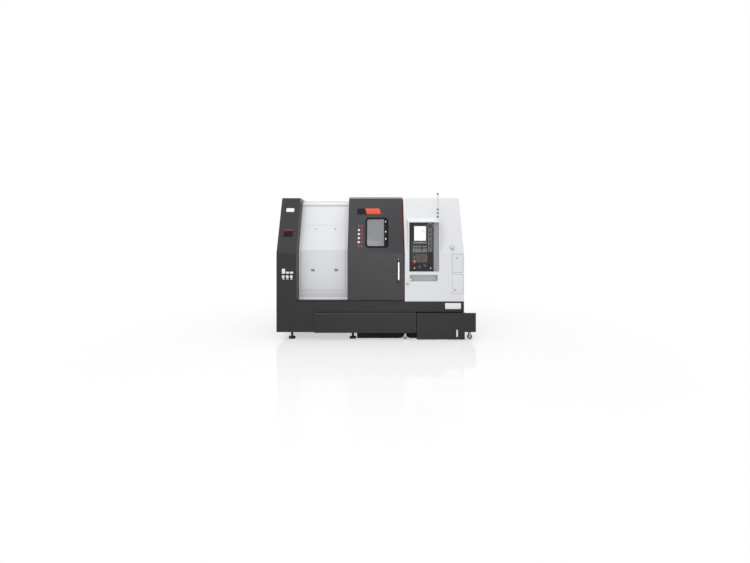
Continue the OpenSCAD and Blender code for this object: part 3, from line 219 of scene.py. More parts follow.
# Screws of the covers: button-head socket screws of zinc-plated steel, each in its own hole of the sheet.
# The heads are turned, and those on a painted cover take the cover's own coat.
zinc = finish("zinc_plate", (0.55, 0.56, 0.58), 0.32, drift=(0.01, 0.10), rub=(0.004, 0.08),
              grain=(0.0006, 1e-5), Metallic=1.0)
button_head = np.array([(0.0068, 0.0), (0.0068, 0.0012), (0.0060, 0.0028), (0.0038, 0.0038),
                        (0.0030, 0.0039), (0.0028, 0.0018), (0.0, 0.0018)])


def skin(name, grid, body, coat, loop=False):
    """Joins points into one closed piece and gives it its body and its finish. The grid has the
    shape (copies, rings, points, 3): quads join each ring to the next. In a loop the last ring is joined to
    the first; otherwise a face fills each end ring."""
    grid = np.asarray(grid, float)
    grid = grid[None] if grid.ndim == 3 else grid
    at = np.arange(grid[..., 0].size).reshape(grid.shape[:3])
    here, there = (at, np.roll(at, -1, 1)) if loop else (at[:, :-1], at[:, 1:])
    quads = [here, np.roll(here, -1, 2), np.roll(there, -1, 2), there]
    faces = np.stack(quads, -1).reshape(-1, 4).tolist()
    if not loop:
        faces += at[:, 0, ::-1].tolist() + at[:, -1].tolist()
    mesh = bpy.data.meshes.new(name)
    mesh.from_pydata(grid.reshape(-1, 3).tolist(), [], faces)
    work = bmesh.new()
    work.from_mesh(mesh)
    bmesh.ops.remove_doubles(work, verts=work.verts, dist=1e-6)
    bmesh.ops.recalc_face_normals(work, faces=work.faces)
    work.to_mesh(mesh)
    work.free()
    mesh.shade_smooth()
    mesh.set_sharp_from_angle(angle=math.radians(38.0))
    mesh.materials.append(coat)
    piece = bpy.data.objects.new(name, mesh)
    scene.collection.objects.link(piece)
    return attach(piece, body)


def turned(profile, origin, axis, count):
    """A lathe shape: each (radius, height) of the profile becomes a ring about the axis, the origin plus the
    height along the axis plus the radius times the cosine and sine of the ring's angle."""
    axis = np.array(axis, float) / np.linalg.norm(axis)
    side = np.cross(axis, (0.0, 0.0, 1.0) if abs(axis[2]) < 0.9 else (1.0, 0.0, 0.0))
    side /= np.linalg.norm(side)
    angle = np.linspace(0.0, 2 * np.pi, count, endpoint=False)[:, None]
    ring = np.cos(angle) * side + np.sin(angle) * np.cross(axis, side)
    profile = np.array(profile, float)
    return np.asarray(origin, float) + profile[:, 1, None, None] * axis + profile[:, 0, None, None] * ring


def spun(name, profile, places, axis, count, body, coat, loop=False):
    """One lathe shape at each place along one axis, as one piece; a looped profile is a ring's section."""
    return skin(name, [turned(profile, p, axis, count) for p in places], body, coat, loop)


def screws(name, places, out, body, size=1.0, coat=zinc):
    """One turned screw head at each place, all facing out."""
    return spun(name, button_head * size, places, out, 16, body, coat)


forward = (0.0, -1.0, 0.0)
front = -0.8125
step_face = front - 0.045
cover_screws = [(x, step_face, z) for x in np.linspace(-0.80, 0.515, 6) for z in (0.124, 0.342)]
screws("base_cover_screws", cover_screws, forward, "machine", coat=dark_coat)

# Blank plate on the base's right front: bare pale sheet on four rivets, with nothing printed on it.
# It is stamped from coated aluminium with rounded corners.
plate_wear = {"rub": (0.02, 0.05), "grain": (0.001, 1e-5)}
pale_plate = finish("coated_plate", (0.80, 0.80, 0.80), 0.34, drift=(0.05, 0.03), **plate_wear)
upright = (0.0, 0.0, 1.0)
rightward = (1.0, 0.0, 0.0)


def laid(points, origin, up=upright, across=rightward):
    """Local points (across, up, out) as places: the origin plus each part along its own direction, where
    out is the cross product of across and up."""
    across = np.array(across, float)
    up = np.array(up, float)
    return np.asarray(origin, float) + points @ np.stack([across, up, np.cross(across, up)])


def rounded(w, h, r, steps=5):
    """Outline of a rectangle about its centre: at each corner, the corner circle's centre plus its radius
    times the cosine and sine of a quarter turn."""
    corner = np.array([[1, 1], [-1, 1], [-1, -1], [1, -1]]) * [w / 2 - r, h / 2 - r]
    angle = np.linspace(0.0, np.pi / 2, steps + 1)[None] + np.arange(4)[:, None] * np.pi / 2
    return (corner[:, None] + r * np.stack([np.cos(angle), np.sin(angle)], -1)).reshape(-1, 2)


def plate(outline, thick, ease):
    """Rings of a flat plate from back to front: the outline, then a quarter round of radius ease that draws
    the outline in while it rises to the plate's face."""
    turn = np.linspace(0.0, np.pi / 2, 4)
    drawn = np.concatenate([[0.0], ease * (1.0 - np.cos(turn))])
    rise = np.concatenate([[0.0], thick - ease + ease * np.sin(turn)])
    rings = outline[None] * (1.0 - drawn[:, None, None] / np.abs(outline).max(0))
    return np.concatenate([rings, np.broadcast_to(rise[:, None, None], rings.shape[:2] + (1,))], -1)


def plates(name, size, edge, places, body, coat, up=upright, across=rightward):
    """One flat plate at each place, as one piece. Size is the width, the height and the corner's radius;
    edge is the thickness and the radius of the front edge."""
    one = plate(rounded(*size), *edge)
    return skin(name, [laid(one, p, up, across) for p in places], body, coat)


plate_x, plate_z = 1.039, 0.452
plates("base_blank_plate", (0.212, 0.080, 0.006), (0.0016, 0.0006), [(plate_x, front, plate_z)], "machine",
       pale_plate)
rivets = [(plate_x + x, front - 0.0016, plate_z + z) for x in (-0.098, 0.098) for z in (-0.032, 0.032)]
screws("base_plate_rivets", rivets, forward, "machine", size=0.5)

# Lifting slot of the base's front cover: a dark upright slot with a pressed rim.
# A hook goes in here to take the cover off.
slot_black = finish("slot_shadow", (0.010, 0.010, 0.011), 0.6, grain=(0.002, 2e-5))
slot_at = [(-0.628, step_face, 0.243)]
plates("cover_slot_rim", (0.020, 0.104, 0.0098), (0.002, 0.0012), slot_at, "machine", dark_coat)
plates("cover_slot", (0.011, 0.094, 0.0054), (0.0024, 0.0003), slot_at, "machine", slot_black)

# Screw feet: steel pads under threaded studs with lock nuts, which level the base.
# The studs' threads are rolled; pads, studs and nuts are blackened.
black_oxide = finish("black_oxide", (0.060, 0.060, 0.062), 0.40, drift=(0.02, 0.12), rub=(0.008, 0.08),
                     grain=(0.0008, 2e-5), Metallic=1.0)
eased("leveling_feet", 0.0015, black_oxide)
foot_places = [(-1.147, -0.7305), (-0.315, -0.7305), (-1.147, 0.7555), (-0.0235, 0.7555), (1.100, 0.7555),
               (1.100, -0.1105)]
thread_pitch, thread_root, thread_depth = 0.004, 0.0141, 0.0016
along = np.linspace(0.0255, 0.0815, 57)[:, None]
about = np.linspace(0.0, 2 * np.pi, 24, endpoint=False)[None]
tooth = np.abs(((along / thread_pitch - about / (2 * np.pi)) % 1.0) - 0.5) * 2.0
thread_r = thread_root + thread_depth * tooth
thread = np.stack([thread_r * np.cos(about), thread_r * np.sin(about), along + 0.0 * about], -1)
threads = [thread + (x, y, 0.0) for x, y in foot_places]
skin("foot_threads", threads, "machine", black_oxide)

# Coolant tank: a welded, coated box on casters that rolls out to the right, with a lid on its outer end.
# The lid is a loose folded sheet with a lift knob; the low end that runs under the base is coloured
# near-black as painted shade for the shadow there.
painted_under_shade = finish("painted_under_shade", (0.005, 0.005, 0.0055), 0.6, grain=(0.002, 4e-5),
                    Specular_IOR_Level=0.15)
hidden_end, hidden_top = 0.545, 0.12
backward = (0.0, 1.0, 0.0)


def painted(piece, coat, chosen):
    """Gives a second finish to the faces that chosen picks from the arrays of face centres and normals."""
    mesh = piece.data
    centre = np.empty(len(mesh.polygons) * 3)
    facing = np.empty(len(mesh.polygons) * 3)
    index = np.empty(len(mesh.polygons), np.int32)
    mesh.polygons.foreach_get("center", centre)
    mesh.polygons.foreach_get("normal", facing)
    mesh.polygons.foreach_get("material_index", index)
    mesh.materials.append(coat)
    picked = chosen(centre.reshape(-1, 3), facing.reshape(-1, 3))
    index[picked] = len(mesh.materials) - 1
    mesh.polygons.foreach_set("material_index", index)
    return piece


def under_base(centre, facing):
    """Picks the low faces at the end that runs under the base."""
    return (centre[:, 0] < hidden_end) & (centre[:, 2] < hidden_top)


# The tank's low faces under the base take the near-black painted shade.
tank = painted(eased("coolant_tank", 0.0025, dark_coat), painted_under_shade, under_base)
lid_x = 1.266
plates("tank_lid", (0.128, 0.520, 0.010), (0.004, 0.0015), [(lid_x, -0.545, 0.264)], "tank",
       dark_coat, up=backward)
lid_knob = [(0.012, 0.0), (0.012, 0.002), (0.006, 0.005), (0.006, 0.014), (0.011, 0.018), (0.015, 0.024),
            (0.014, 0.030), (0.008, 0.033), (0.0, 0.0335)]
black_plastic = finish("black_plastic", (0.018, 0.018, 0.019), 0.42, drift=(0.2, 0.06), rub=(0.03, 0.06),
                       grain=(0.0008, 2e-5))
spun("tank_lid_knob", lid_knob, [(lid_x, -0.74, 0.268)], upright, 24, "tank", black_plastic)
white_coat = finish("white_powder_coat", (0.725, 0.731, 0.745), 0.36, drift=(0.9, 0.022), rub=(0.12, 0.05),
                    grain=(0.0022, 4e-5))
eased("tank_handle", 0.002, white_coat)

# Casters: moulded wheels with a hard dark tread on a grey plastic hub, each on its own axle.
# The wheel's section is one closed loop carried round the axle; the forks are zinc plated.
tread = finish("wheel_tread", (0.045, 0.045, 0.047), 0.62, drift=(0.02, 0.12), rub=(0.01, 0.06),
               grain=(0.0012, 5e-5))
hub_grey = finish("wheel_hub", (0.42, 0.42, 0.43), 0.40, drift=(0.02, 0.08), rub=(0.01, 0.06),
                  grain=(0.001, 2e-5))
half_section = [(0.0062, 0.0128), (0.0115, 0.0128), (0.0130, 0.0105), (0.0235, 0.0095), (0.0250, 0.0122),
                (0.0310, 0.0128), (0.0338, 0.0108), (0.0349, 0.0060), (0.0350, 0.0012)]
wheel_section = [(r, -h) for r, h in half_section] + [(0.0343, 0.0)] + half_section[::-1]
hub_radius = 0.0245
axles = []
for number in "1234":
    low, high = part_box("caster_" + number)
    axle = np.array((low + high) / 2)
    wheel = spun("caster_wheel_" + number, wheel_section, [axle], backward, 48, "caster_" + number,
                 tread, loop=True)
    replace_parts(wheel, "caster_" + number)
    painted(wheel, hub_grey, lambda centre, facing: np.hypot(*(centre - axle).T[[0, 2]]) < hub_radius)
    axles.append(axle)
fork_zinc = finish("fork_zinc", (0.30, 0.305, 0.315), 0.40, drift=(0.02, 0.10), rub=(0.008, 0.08),
                   grain=(0.0008, 1e-5), Metallic=1.0)
fork_half = (0.0165, 0.0215, 0.052)
painted(tank, fork_zinc, lambda centre, facing: np.any(
    [np.all(np.abs(centre - axle) < fork_half, 1) for axle in axles], 0))

# Bed, headstock, saddle, cross slide and tailstock: grey-painted iron castings with ground ways.
# The ways are scraped and ground bright where the slides run.
cast_paint = finish("casting_paint", (0.215, 0.228, 0.238), 0.46, drift=(0.25, 0.10), rub=(0.04, 0.08),
                    grain=(0.004, 2.5e-4))
ground = finish("ground_steel", (0.60, 0.60, 0.60), 0.24, drift=(0.03, 0.10), rub=(0.01, 0.06),
                grain=(0.0012, 1.2e-5), stretch=(14.0, 1.0, 1.0), Metallic=1.0)
diagonal = math.sqrt(0.5)
bed_out = np.array([0.0, -diagonal, diagonal])
spindle_axis = np.array([0.0, -0.3425, 1.02])


def off_slope(low, high):
    """Picks the faces whose height off the bed's slope, from the spindle's axis, lies between two values."""
    def chosen(centre, facing):
        height = (centre - spindle_axis) @ bed_out
        return (height > low) & (height < high)
    return chosen


painted(eased("slant_bed", 0.004, cast_paint), ground, off_slope(-0.379, -0.33))
painted(eased("saddle", 0.003, cast_paint), ground, off_slope(-0.239, -0.19))
eased("headstock", 0.005, cast_paint)
eased("cross_slide", 0.003, cast_paint)
painted(eased("tailstock_body", 0.004, cast_paint), ground, off_slope(-0.379, -0.335))

# Feed screw: a ground ball screw of 20 mm lead, with plain journals at both ends.
# Its groove is a rounded helix cut below the bright outside.
bright = finish("bright_steel", (0.56, 0.565, 0.57), 0.22, drift=(0.02, 0.08), rub=(0.008, 0.07),
                grain=(0.0007, 1e-5), Metallic=1.0)
low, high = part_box("z_ball_screw")
middle = (low + high) / 2
left_end, right_end = low[0], high[0]
journal, lead, step, shoulder = 0.04, 0.020, 0.002, 0.0002
screw_radius, groove_depth, journal_radius = 0.01995, 0.003, 0.0149
run = np.concatenate([[left_end, left_end + journal - shoulder],
                      np.arange(left_end + journal, right_end - journal, step),
                      [right_end - journal + shoulder, right_end]])[:, None]
about = np.linspace(0.0, 2 * np.pi, 24, endpoint=False)[None]
groove = np.maximum(0.0, np.cos(2 * np.pi * run / lead - about)) ** 3
threaded = (run > left_end + journal - shoulder / 2) & (run < right_end - journal + shoulder / 2)
screw_r = np.where(threaded, screw_radius - groove_depth * groove, journal_radius)
screw = np.stack([run + 0.0 * about, middle[1] + screw_r * np.cos(about),
                  middle[2] + screw_r * np.sin(about)], -1)
screw = skin("z_screw_thread", screw, "z_screw", bright)
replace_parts(screw, "z_ball_screw")

# Spindle line: a turned spindle, its power chuck with three stepped jaws, and the draw cylinder behind.
# All are turned or ground steel; the jaws are darker, hardened steel on socket screws.
turned_steel = finish("turned_steel", (0.50, 0.505, 0.51), 0.27, drift=(0.015, 0.10), rub=(0.006, 0.08),
                      grain=(0.0008, 1.5e-5), stretch=(0.5, 4.0, 4.0), Metallic=1.0)
hard_steel = finish("hardened_steel", (0.27, 0.27, 0.275), 0.33, drift=(0.02, 0.12), rub=(0.008, 0.08),
                    grain=(0.0008, 2e-5), Metallic=1.0)
for node, roll in (("spindle", 0.002), ("chuck_body", 0.003), ("chuck_cylinder", 0.003),
                   ("motor_pulley", 0.0015), ("spindle_pulley", 0.0015), ("quill", 0.002),
                   ("spindle_bearings", 0.001)):
    eased(node, roll, turned_steel)
for number in "123":
    eased("jaw_" + number, 0.0015, hard_steel)
chuck_face = -0.265
jaw_turn = np.radians([0.0, 120.0, 240.0])


def around(x, r, angle):
    """A place at radius r from the spindle's axis, at an angle from straight up about the axis."""
    return spindle_axis + (x, -r * math.sin(angle), r * math.cos(angle))


for number, angle in zip("123", jaw_turn):
    jaw_screws = [around(chuck_face + 0.028, r, angle) for r in (0.096, 0.109)]
    screws("jaw_screws_" + number, jaw_screws, rightward, "jaw_" + number, size=0.75)
chuck_screws = [around(chuck_face, 0.1, angle + turn) for angle in jaw_turn for turn in (0.62, 1.475)]
screws("chuck_screws", chuck_screws, rightward, "spindle", size=1.3)

# Turret: an indexing housing in light paint and a twelve-sided disc with a clamped tool block on each flat.
# Every second block holds a turning tool, the others a boring bar, each with a gold-coloured carbide tip.
light_coat = finish("light_grey_coat", (0.56, 0.57, 0.58), 0.38, drift=(0.6, 0.03), rub=(0.1, 0.05),
                    grain=(0.0022, 4e-5))
eased("turret_housing", 0.004, light_coat)
eased("turret_disc", 0.003, turned_steel)
eased("tool_holders", 0.0015, hard_steel)
carbide = finish("coated_carbide", (0.62, 0.42, 0.13), 0.30, drift=(0.004, 0.10), rub=(0.002, 0.06),
                 grain=(0.0005, 1e-5), Metallic=1.0)
turret_at = spindle_axis + 0.48 * np.array([0.0, diagonal, diagonal])
tip = plate(np.array([[0.0062, 0.0], [0.0, 0.0074], [-0.0062, 0.0], [0.0, -0.0074]]), 0.004, 0.0006)
turning_tip, boring_tip = (0.1275, 0.2265, -0.0124), (0.0905, 0.184, -0.0105)
block_top = 0.2044
tips = []
block_heads = []
for station in range(12):
    angle = math.radians(45.0 + (station + 0.5) * 30.0)
    outward = np.array([0.0, -math.sin(angle), math.cos(angle)])
    sideways = np.array([0.0, math.cos(angle), math.sin(angle)])
    x, out, aside = boring_tip if station % 2 else turning_tip
    tips.append(laid(tip, turret_at + (x, 0, 0) + outward * out + sideways * aside, outward))
    block_heads += [turned(button_head * 0.8, turret_at + (x, 0, 0) + outward * block_top + sideways * aside,
                           outward, 12) for x in (0.165, 0.184) for aside in (-0.017, 0.017)]
skin("tool_tips", tips, "turret", carbide)
skin("tool_block_screws", block_heads, "turret", zinc)
leftward = (-1.0, 0.0, 0.0)
hub = [(0.060, 0.0), (0.060, 0.006), (0.056, 0.010), (0.030, 0.011), (0.028, 0.008), (0.0, 0.008)]
spun("turret_hub", hub, [turret_at + (0.113, 0, 0)], leftward, 40, "turret", turned_steel)

# Motors and belt: the foot-mounted spindle motor, two servo motors and the ribbed drive belt.
# The motors are black-painted castings; the belt is reinforced rubber.
motor_paint = finish("motor_paint", (0.030, 0.031, 0.033), 0.44, drift=(0.1, 0.10), rub=(0.02, 0.06),
                     grain=(0.003, 1.2e-4))
belt_rubber = finish("belt_rubber", (0.022, 0.022, 0.022), 0.68, drift=(0.02, 0.10), rub=(0.01, 0.05),
                     grain=(0.0015, 6e-5))
for node in ("spindle_motor", "z_servo_motor", "x_servo_motor"):
    eased(node, 0.004, motor_paint)
eased("drive_belt", 0.001, belt_rubber)

# Tower: the folded dark cover that closes the left end, over the belt drive and the draw cylinder.
# Its front carries three blank plates, and it is screwed to the base along its lower edge.
eased("tower_cover", 0.0014, dark_coat)
lean = math.radians(22.0)
slope_up = (0.0, math.sin(lean), math.cos(lean))
slope_out = np.cross(rightward, slope_up)


def on_slope(x, s, y0=front, fold=1.168):
    """A place on a leaning front: the distance s up the slope from the fold of the face that starts at y0."""
    return np.array([x, y0 + s * math.sin(lean), fold + s * math.cos(lean)])


plates("tower_blank_badge", (0.112, 0.058, 0.010), (0.003, 0.0012), [on_slope(-1.210, 0.650)], "machine",
       pale_plate, slope_up)
red_plate = finish("red_plate", (0.24, 0.010, 0.018), 0.42, drift=(0.05, 0.06), Specular_IOR_Level=0.25,
                   **plate_wear)
black_plate = finish("black_plate", (0.006, 0.005, 0.006), 0.55, drift=(0.05, 0.08), Specular_IOR_Level=0.15,
                     **plate_wear)
plates("tower_red_plate", (0.134, 0.024, 0.003), (0.0016, 0.0005), [on_slope(-1.204, 0.342)], "machine",
       red_plate, slope_up)
plates("tower_black_plate", (0.128, 0.086, 0.003), (0.0016, 0.0005), [on_slope(-1.208, 0.281)], "machine",
       black_plate, slope_up)
tower_side = -1.3425
front_screws = [(x, front, z) for x in (-1.322, -1.098) for z in (0.14, 0.36, 0.60)]
screws("tower_screws", front_screws, forward, "machine", size=0.8, coat=dark_coat)
side_screws = [(tower_side, y, z) for y in np.linspace(-0.77, 0.41, 6) for z in (0.13, 0.48)]
screws("tower_side_screws", side_screws, leftward, "machine", size=0.9, coat=dark_coat)

# Bar opening: a black plastic ring in the tower's left side, where bar stock goes into the spindle.
# The ring snaps into the round hole of the sheet, and its flange covers the cut edge.
bar_ring = [(0.0585, -0.004), (0.0585, 0.0015), (0.0600, 0.0030), (0.0660, 0.0030), (0.0675, 0.0015),
            (0.0675, 0.0), (0.0598, 0.0), (0.0598, -0.004)]
spun("bar_opening_ring", bar_ring, [spindle_axis + (tower_side, 0, 0)], leftward, 64, "machine",
     black_plastic, loop=True)

# Pressure gauges: three on the tower and one on the right guard, brass works in black cups with white dials.
# Each has a rolled rim, a dished dial with a scale of strokes, and a red hand.
gauge_black = finish("gauge_cup", (0.020, 0.020, 0.022), 0.30, drift=(0.05, 0.08), rub=(0.01, 0.05),
                     grain=(0.001, 1e-5))
dial_white = finish("dial_white", (0.86, 0.86, 0.85), 0.30, drift=(0.01, 0.02), rub=(0.01, 0.04),
                    grain=(0.001, 5e-6), Coat_Weight=1.0, Coat_Roughness=0.05)
cup = [(0.0225, 0.0), (0.0230, 0.002), (0.0230, 0.0160), (0.0222, 0.0178), (0.0210, 0.0180), (0.0202, 0.0172),
       (0.0198, 0.0150), (0.0, 0.0150)]
dial = [(0.0199, 0.0142), (0.0199, 0.0154), (0.0, 0.0152)]


def strokes_about(place, up, radius, angles, mark):
    """Marks of a scale: at each angle from up, the mark is turned by the angle and set out by the radius."""
    out = np.cross(rightward, up)
    ways = [math.cos(a) * np.array(up) + math.sin(a) * np.array(rightward) for a in angles]
    return [laid(mark, place + way * radius, way, np.cross(way, out)) for way in ways]


gauge_columns = (-1.247, -1.193, -1.139)
gauge_places = [(np.array([x, front, 0.850]), upright) for x in gauge_columns]
gauge_places.append((on_slope(1.035, 0.074), slope_up))
gauge_scale = np.radians(np.linspace(-135.0, 135.0, 11))
gauge_stroke = plate(rounded(0.0010, 0.0046, 0.0004, 2), 0.0008, 0.0002)
hand_outline = [[0.0011, -0.005], [0.0003, 0.0135], [-0.0003, 0.0135], [-0.0011, -0.005]]
hand = plate(np.array(hand_outline), 0.0007, 0.0002)
hand_turn = -0.9
cups, dials, strokes, hands = [], [], [], []
for place, up in gauge_places:
    out = np.cross(rightward, up)
    cups.append(turned(cup, place, out, 40))
    dials.append(turned(dial, place, out, 40))
    strokes += strokes_about(place + out * 0.0150, up, 0.0158, gauge_scale, gauge_stroke)
    hands += strokes_about(place + out * 0.0155, up, 0.0, [hand_turn], hand)
gauges = skin("gauge_cups", cups, "machine", gauge_black)
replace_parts(gauges, "pressure_gauges")
skin("gauge_dials", dials, "machine", dial_white)
skin("gauge_strokes", strokes, "machine", gauge_black)
skin("gauge_hands", hands, "machine", red_plate)
tag_edge = (0.0014, 0.0005)
for word, x, z, h in zip(("left", "middle", "right"), gauge_columns, (0.921, 0.902, 0.902),
                         (0.066, 0.026, 0.026)):
    plates("gauge_plate_" + word, (0.043, h, 0.003), tag_edge, [(x, front, z)], "machine",
           pale_plate)
tag_places = [(x, front, 0.8175) for x in gauge_columns]
plates("gauge_tags", (0.030, 0.013, 0.003), tag_edge, tag_places, "machine", pale_plate)

# Left guard and service panel: folded white sheet left of the door, with a lift-off panel in it.
# The panel has two pressed pulls, whose cups are coloured mid grey as painted shade, and two quarter-turn
# locks near its top edge.
# A folded strip closes the guard's foot on the base.
eased("left_front_cover", 0.0012, white_coat)
# Painted shade: a mid grey for the shade in the pulls' cups and under the tray's lip.
grip_shade = finish("pull_cup_painted_shade", (0.36, 0.36, 0.365), 0.5, grain=(0.002, 3e-5))
pull_z, pull_half = 0.925, 0.0215
pull_front, pull_back = -0.6215, -0.598


def in_pulls(centre, facing):
    """Picks the faces of the pulls' cups, behind the panel's face and at their height."""
    behind = (centre[:, 1] > pull_front) & (centre[:, 1] < pull_back)
    return behind & (abs(centre[:, 2] - pull_z) < pull_half)


painted(eased("service_panel", 0.0012, white_coat), grip_shade, in_pulls)
quarter_turn = [(0.011, 0.0), (0.011, 0.0015), (0.0095, 0.003), (0.006, 0.0034), (0.0056, 0.0022),
                (0.0, 0.0022)]
left_face = -0.6225
lock_places = [on_slope(x, 0.321, left_face, 1.210) for x in (-0.852, -0.583)]
spun("panel_locks", quarter_turn, lock_places, slope_out, 24, "machine", hard_steel)
guard_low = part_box("left_front_cover")[0]
foot_section = np.array([(0.0, 0.0), (-0.0180, 0.0), (-0.0185, 0.0012), (-0.0180, 0.0034), (-0.0032, 0.0306),
                         (-0.0012, 0.0322), (0.0, 0.0326)]) + (left_face, guard_low[2])
foot_ends = (guard_low[0] + 0.001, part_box("service_panel")[1][0] + 0.142)
foot_strip = np.stack([np.insert(foot_section, 0, x, 1) for x in np.linspace(*foot_ends, 9)])
skin("left_foot_strip", foot_strip, "machine", white_coat)

# Splash guard, rails, roof and right end: a bright partition inside, the door's two painted rails, and sheet.
# The roof's cap is folded from light grey sheet, the end guard from white sheet, screwed along its edges.
eased("splash_guard", 0.001, ground)
painted(eased("door_rails", 0.0015, white_coat), dark_coat, lambda centre, facing: centre[:, 2] < 0.7)
roof_coat = finish("roof_grey_coat", (0.40, 0.405, 0.415), 0.38, drift=(0.6, 0.03), rub=(0.1, 0.05),
                   grain=(0.0022, 4e-5))
eased("roof_cover", 0.0012, roof_coat)
eased("right_end_cover", 0.0012, white_coat)
right_side = 1.1875
end_screws = [(right_side, y, z) for y in np.linspace(-0.35, 0.40, 5) for z in (0.54, 1.895)]
screws("right_end_screws", end_screws, rightward, "machine", size=0.9, coat=white_coat)

# Sliding door: a folded dark skin with a red edge strip at its right, hung on the rails.
# Its badge is a plain bar in two colours, and two columns of small blank plates stand left of the window.
door_coat = finish("door_powder_coat", (0.024, 0.024, 0.027), 0.38, drift=(0.6, 0.07), rub=(0.09, 0.05),
                   grain=(0.0022, 5e-5), Specular_IOR_Level=0.40)
eased("door_panel", 0.0014, door_coat)
red_coat = finish("red_coat", (0.108, 0.008, 0.012), 0.34, drift=(0.5, 0.06), rub=(0.08, 0.05),
                  grain=(0.0022, 3e-5), Specular_IOR_Level=0.4)
eased("door_red_trim", 0.0025, red_coat)
door_face = -0.7975
orange_plate = finish("orange_plate", (0.66, 0.062, 0.020), 0.40, drift=(0.05, 0.04), **plate_wear)
badge_slant = 0.24
for word, x, w, slot, coat in (("black", -0.202, 0.122, "dark_paint", black_plate),
                               ("orange", -0.040, 0.200, "red_paint", orange_plate)):
    leaned = rounded(w, 0.090, 0.004)
    leaned[:, 0] -= badge_slant * leaned[:, 1] * ((leaned[:, 0] > 0) | (word == "orange"))
    badge = laid(plate(leaned, 0.004, 0.0014), on_slope(x, 0.632, door_face), slope_up)
    skin("door_badge_" + word, badge, "door", coat)
deep_red = finish("deep_red_plate", (0.21, 0.018, 0.024), 0.38, drift=(0.05, 0.06), **plate_wear)
rows = np.linspace(0.400, 0.098, 6)
outer_x, inner_x = -0.236, -0.196
red_places = [(inner_x, s) for s in rows] + [(outer_x, rows[0]), (outer_x, rows[5])]
pale_places = [(outer_x, s) for s in rows[1:5]]
for word, w, h, places, slot, coat in (("red", 0.030, 0.036, red_places, "red_paint", deep_red),
                                       ("pale", 0.026, 0.028, pale_places, "white_paint", pale_plate)):
    plates("door_plates_" + word, (w, h, 0.004), (0.0012, 0.0004),
           [on_slope(x, s, door_face) for x, s in places], "door", coat, slope_up)

# Window: a laminated pane behind a black rubber frame with screws through it; the pane's grey haze is painted
# reflection of the surrounding light.
# The pane is tinted and shows the turret faintly; a dark strip with three screws clamps its right edge.
seal_rubber = finish("seal_rubber", (0.005, 0.005, 0.006), 0.62, drift=(0.1, 0.08), rub=(0.03, 0.06),
                     grain=(0.0012, 3e-5), Specular_IOR_Level=0.12)
eased("window_seal", 0.0016, seal_rubber)
# The pane's grey diffuse colour is painted reflection; its tint and see-through part are its own.
pane = finish("pane_painted_sheen", (0.42, 0.43, 0.44), 0.05, drift=(0.4, 0.05), rub=(0.2, 0.03), grain=(0.2, 2e-5),
              Transmission_Weight=0.5, IOR=1.5)
eased("window_glass", 0.001, pane)
seal_ring = [(x, s) for x in np.linspace(-0.110, 0.138, 4) for s in (0.084, 0.524)]
seal_ring += [(x, s) for x in (-0.138, 0.166) for s in np.linspace(0.13, 0.478, 4)]
seal_screws = [on_slope(x, s, door_face) + slope_out * 0.006 for x, s in seal_ring]
screws("window_screws", seal_screws, slope_out, "door", size=0.6, coat=seal_rubber)
plates("window_clamp", (0.044, 0.412, 0.012), (0.003, 0.001), [on_slope(0.1335, 0.304, door_face)], "door",
       black_plate, slope_up)
clamp_screws = [on_slope(0.1355, s, door_face) + slope_out * 0.003 for s in (0.467, 0.310, 0.205)]
screws("clamp_screws", clamp_screws, slope_out, "door", size=1.6)

# Door handle: an anodised aluminium bar on two black end posts, with a key lock above it.
# The bar is brushed along its length.
brushed = finish("brushed_aluminium", (0.74, 0.745, 0.75), 0.30, drift=(0.004, 0.08), rub=(0.002, 0.08),
                 grain=(0.0006, 1e-5), stretch=(1.0, 1.0, 40.0), Metallic=1.0)
grip_x, grip_y = 0.304, -0.8445
bar = plates("handle_bar", (0.020, 0.018, 0.006), (0.238, 0.0006), [(grip_x, grip_y, 0.806)], "door",
             brushed, up=backward)
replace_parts(bar, "door_handle")
sleeve = plate(rounded(0.0214, 0.0194, 0.0064), 0.037, 0.002)
post = plate(rounded(0.0200, 0.0300, 0.0060), 0.040, 0.002)
ends = [laid(sleeve, (grip_x, grip_y, 1.043), backward), laid(sleeve, (grip_x, grip_y, 0.807), forward),
        laid(post, (grip_x, door_face, 1.064)), laid(post, (grip_x, door_face, 0.786))]
skin("handle_ends", ends, "door", black_plastic)
lock_barrel = [(0.010, 0.0), (0.010, 0.003), (0.0090, 0.005), (0.0065, 0.0055), (0.0062, 0.004), (0.0, 0.004)]
spun("door_lock", lock_barrel, [(grip_x, door_face, 1.083)], forward, 28, "door", hard_steel)

# Right guard: folded white sheet with the panel's bay, a pressed tray, a small door and a flush cover.
# The cover and the small door are held by quarter-turn locks.
# Painted shade: a grey for the shade inside the tray's hollow and the panel's bay.
hollow_shade_grey = finish("hollow_shade_grey", (0.56, 0.565, 0.575), 0.42, drift=(0.3, 0.03), rub=(0.06, 0.05),
                   grain=(0.0022, 4e-5))
tray_low, tray_high = (0.452, front + 0.0032, 0.780), (0.836, front + 0.075, 0.877)
case_low, case_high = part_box("pendant_case")
bay_low = (case_low[0], front + 0.003, case_low[2])
bay_high = (case_high[0] + 0.080, np.inf, case_high[2])


def in_tray(centre, facing):
    """Picks the faces inside the tray's hollow."""
    return np.all((centre > tray_low) & (centre < tray_high), 1)


def tray_ceiling(centre, facing):
    """Picks the faces of the hollow that look down."""
    return in_tray(centre, facing) & (facing[:, 2] < -0.3)


def in_bay(centre, facing):
    """Picks the faces of the panel's bay and of the finger scoop right of it, but not the sheet's back."""
    return np.all((centre > bay_low) & (centre < bay_high), 1) & (facing[:, 1] < 0.3)
